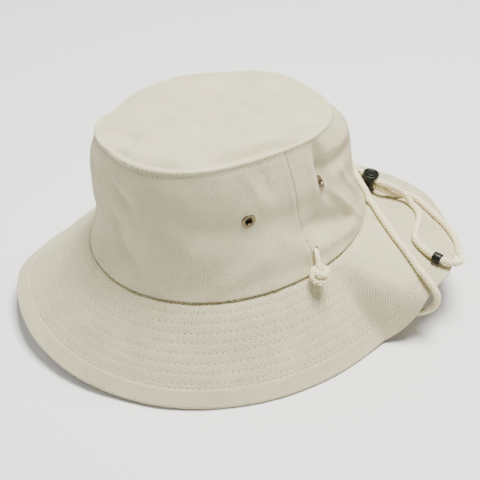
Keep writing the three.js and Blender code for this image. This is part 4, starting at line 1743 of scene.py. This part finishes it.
    def holes(self) -> list[Hole]:
        """Finds the middle, direction and radius of the cord's two holes in the wall."""
        halves = (self.points("left"), self.points("right"))
        return [(Vector(half[2]), Vector(half[3] - half[1]), self.hole_radius) for half in halves]

    def knot(self, side: str, line: np.ndarray) -> Thing:
        """Ties the stop knot that the cord's line starts at.

        Args:
            side: The half: left or right.
            line: The cord's line.

        Returns:
            The knot.
        """
        lo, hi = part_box(f"knot_{side}")
        middle = (Vector(lo) + Vector(hi)) / 2
        mirrored = 1 if side == "left" else -1
        up = (Vector(line[0]) - middle).normalized()
        out = Vector((0.5 * mirrored, -0.6, 0.6))
        out = (out - up * out.dot(up)).normalized()
        across = up.cross(out) * mirrored
        turns = [middle + (across * u + up * v + out * n) * MM for u, v, n in self.knot_turns]
        braid = BraidedCord(self.finish, radius=self.knot_radius)
        return braid.tube(f"stop_knot_{side}", Route(turns, step=0.4 * MM).line)


@dataclass
class Studio:
    """The camera at the photograph's angle, a plain floor and soft lights."""

    form: HatForm
    azimuth: float = 0.964364
    elevation: float = 0.655443
    roll: float = -0.029773
    distance: float = 0.75
    focal_pixels: float = 1008.9
    frame_pixels: float = 480.0
    target_pixel: tuple[float, float] = (230.33, 214.89)
    floor_half: float = 6.0
    aim: Triple = (0, 0, 0.06)
    # Name, place, side of the square, watts and colour.
    lights: Sequence[tuple] = (
        ("top", (0.1, 0.28, 1.45), 0.6, 64.0, (1.0, 0.985, 0.955)),
        ("side", (1.15, -0.25, 0.85), 0.5, 1.6, (1.0, 0.985, 0.955)),
        ("fill", (-0.9, -0.8, 0.8), 1.2, 11.0, (0.99, 0.99, 0.98)),
    )
    sky: tuple[float, float, float, float] = (0.95, 0.95, 0.94, 1)
    sky_strength: float = 0.2

    def build(self) -> None:
        """Builds the camera, the floor, the lights and the background."""
        self.camera()
        h = self.floor_half
        mesh = bpy.data.meshes.new("floor")
        mesh.from_pydata([(-h, -h, 0), (h, -h, 0), (h, h, 0), (-h, h, 0)], [], [(0, 1, 2, 3)])
        paper = Paint("floor_paper").shade({"Base Color": (0.82, 0.82, 0.82, 1), "Roughness": 0.9})
        make_object("floor", mesh, paper)
        for name, place, size, power, colour in self.lights:
            data = bpy.data.lights.new(name, "AREA")
            data.size, data.energy, data.color = size, power, colour
            light = bpy.data.objects.new(name, data)
            light.location = place
            aim = Vector(self.aim) - Vector(place)
            light.rotation_euler = aim.to_track_quat("-Z", "Y").to_euler()
            bpy.context.collection.objects.link(light)
        world = bpy.data.worlds.new("studio")
        world.use_nodes = True
        sky = world.node_tree.nodes["Background"].inputs
        sky["Color"].default_value, sky["Strength"].default_value = self.sky, self.sky_strength
        bpy.context.scene.world = world

    def camera(self) -> None:
        """Places the camera as the photograph's was."""
        a, e = self.azimuth, self.elevation
        back = Vector((math.sin(a) * math.cos(e), -math.cos(a) * math.cos(e), math.sin(e)))
        right = Vector((math.cos(a), math.sin(a), 0))
        up = back.cross(right)
        across = right * math.cos(self.roll) + up * math.sin(self.roll)
        upward = up * math.cos(self.roll) - right * math.sin(self.roll)
        data = bpy.data.cameras.new("camera")
        data.sensor_width = 36.0
        data.lens = self.focal_pixels / self.frame_pixels * data.sensor_width
        middle = self.frame_pixels / 2
        data.shift_x = (middle - self.target_pixel[0]) / self.frame_pixels
        data.shift_y = (self.target_pixel[1] - middle) / self.frame_pixels
        data.clip_start = 0.01
        camera = bpy.data.objects.new("camera", data)
        target = Vector((self.form.shift[0], self.form.shift[1], self.form.base))
        turn = Matrix((across, upward, back)).transposed().to_4x4()
        camera.matrix_world = Matrix.Translation(target + back * self.distance) @ turn
        bpy.context.collection.objects.link(camera)
        bpy.context.scene.camera = camera


def main() -> None:
    """Builds the hat piece by piece."""
    logging.basicConfig(level=logging.INFO, format="%(name)s: %(message)s")
    form = HatForm()
    cloth = ClothFinish("stone_twill").build()
    thread = ClothFinish("stone_thread", warm=(0.74, 0.665, 0.46), cool=(0.72, 0.665, 0.46),
                         shadow=0.8).build()
    # Painted shade: the dark marks that stand for the needle holes' shadows.
    hole = PlainFinish("needle_hole_shade", (0.10, 0.095, 0.07), (0.16, 0.15, 0.11),
                       roughness=0.9, metallic=0.0, grain=900.0).build()
    cord_finish = CordFinish("cream_braid").build()
    brass = PlainFinish("antique_brass", (0.13, 0.10, 0.055), (0.34, 0.275, 0.16),
                        roughness=0.42, metallic=1.0, grain=700.0).build()
    plastic = PlainFinish("black_plastic", (0.004, 0.006, 0.0035), (0.009, 0.012, 0.007),
                          roughness=0.36, metallic=0.0, grain=500.0).build()

    Studio(form).build()
    stitches = StitchMaker(thread, hole)
    lock = CordLock(form, plastic)
    bead = CordBead(form, plastic)
    cord = ChinCord(form, cord_finish, lock, bead)
    eyelets = Eyelets(form, brass)
    holes = cord.holes() + [(point, out, eyelets.barrel - 0.1 * MM)
                            for point, out in eyelets.places().values()]
    panels = Crown(form, cloth, stitches, holes).build()
    brim = Brim(form, cloth, stitches).build()
    eyelets.build()
    lock.build()
    bead.build()
    cord.build([brim, panels[1], panels[2]])


if __name__ == "__main__":
    main()
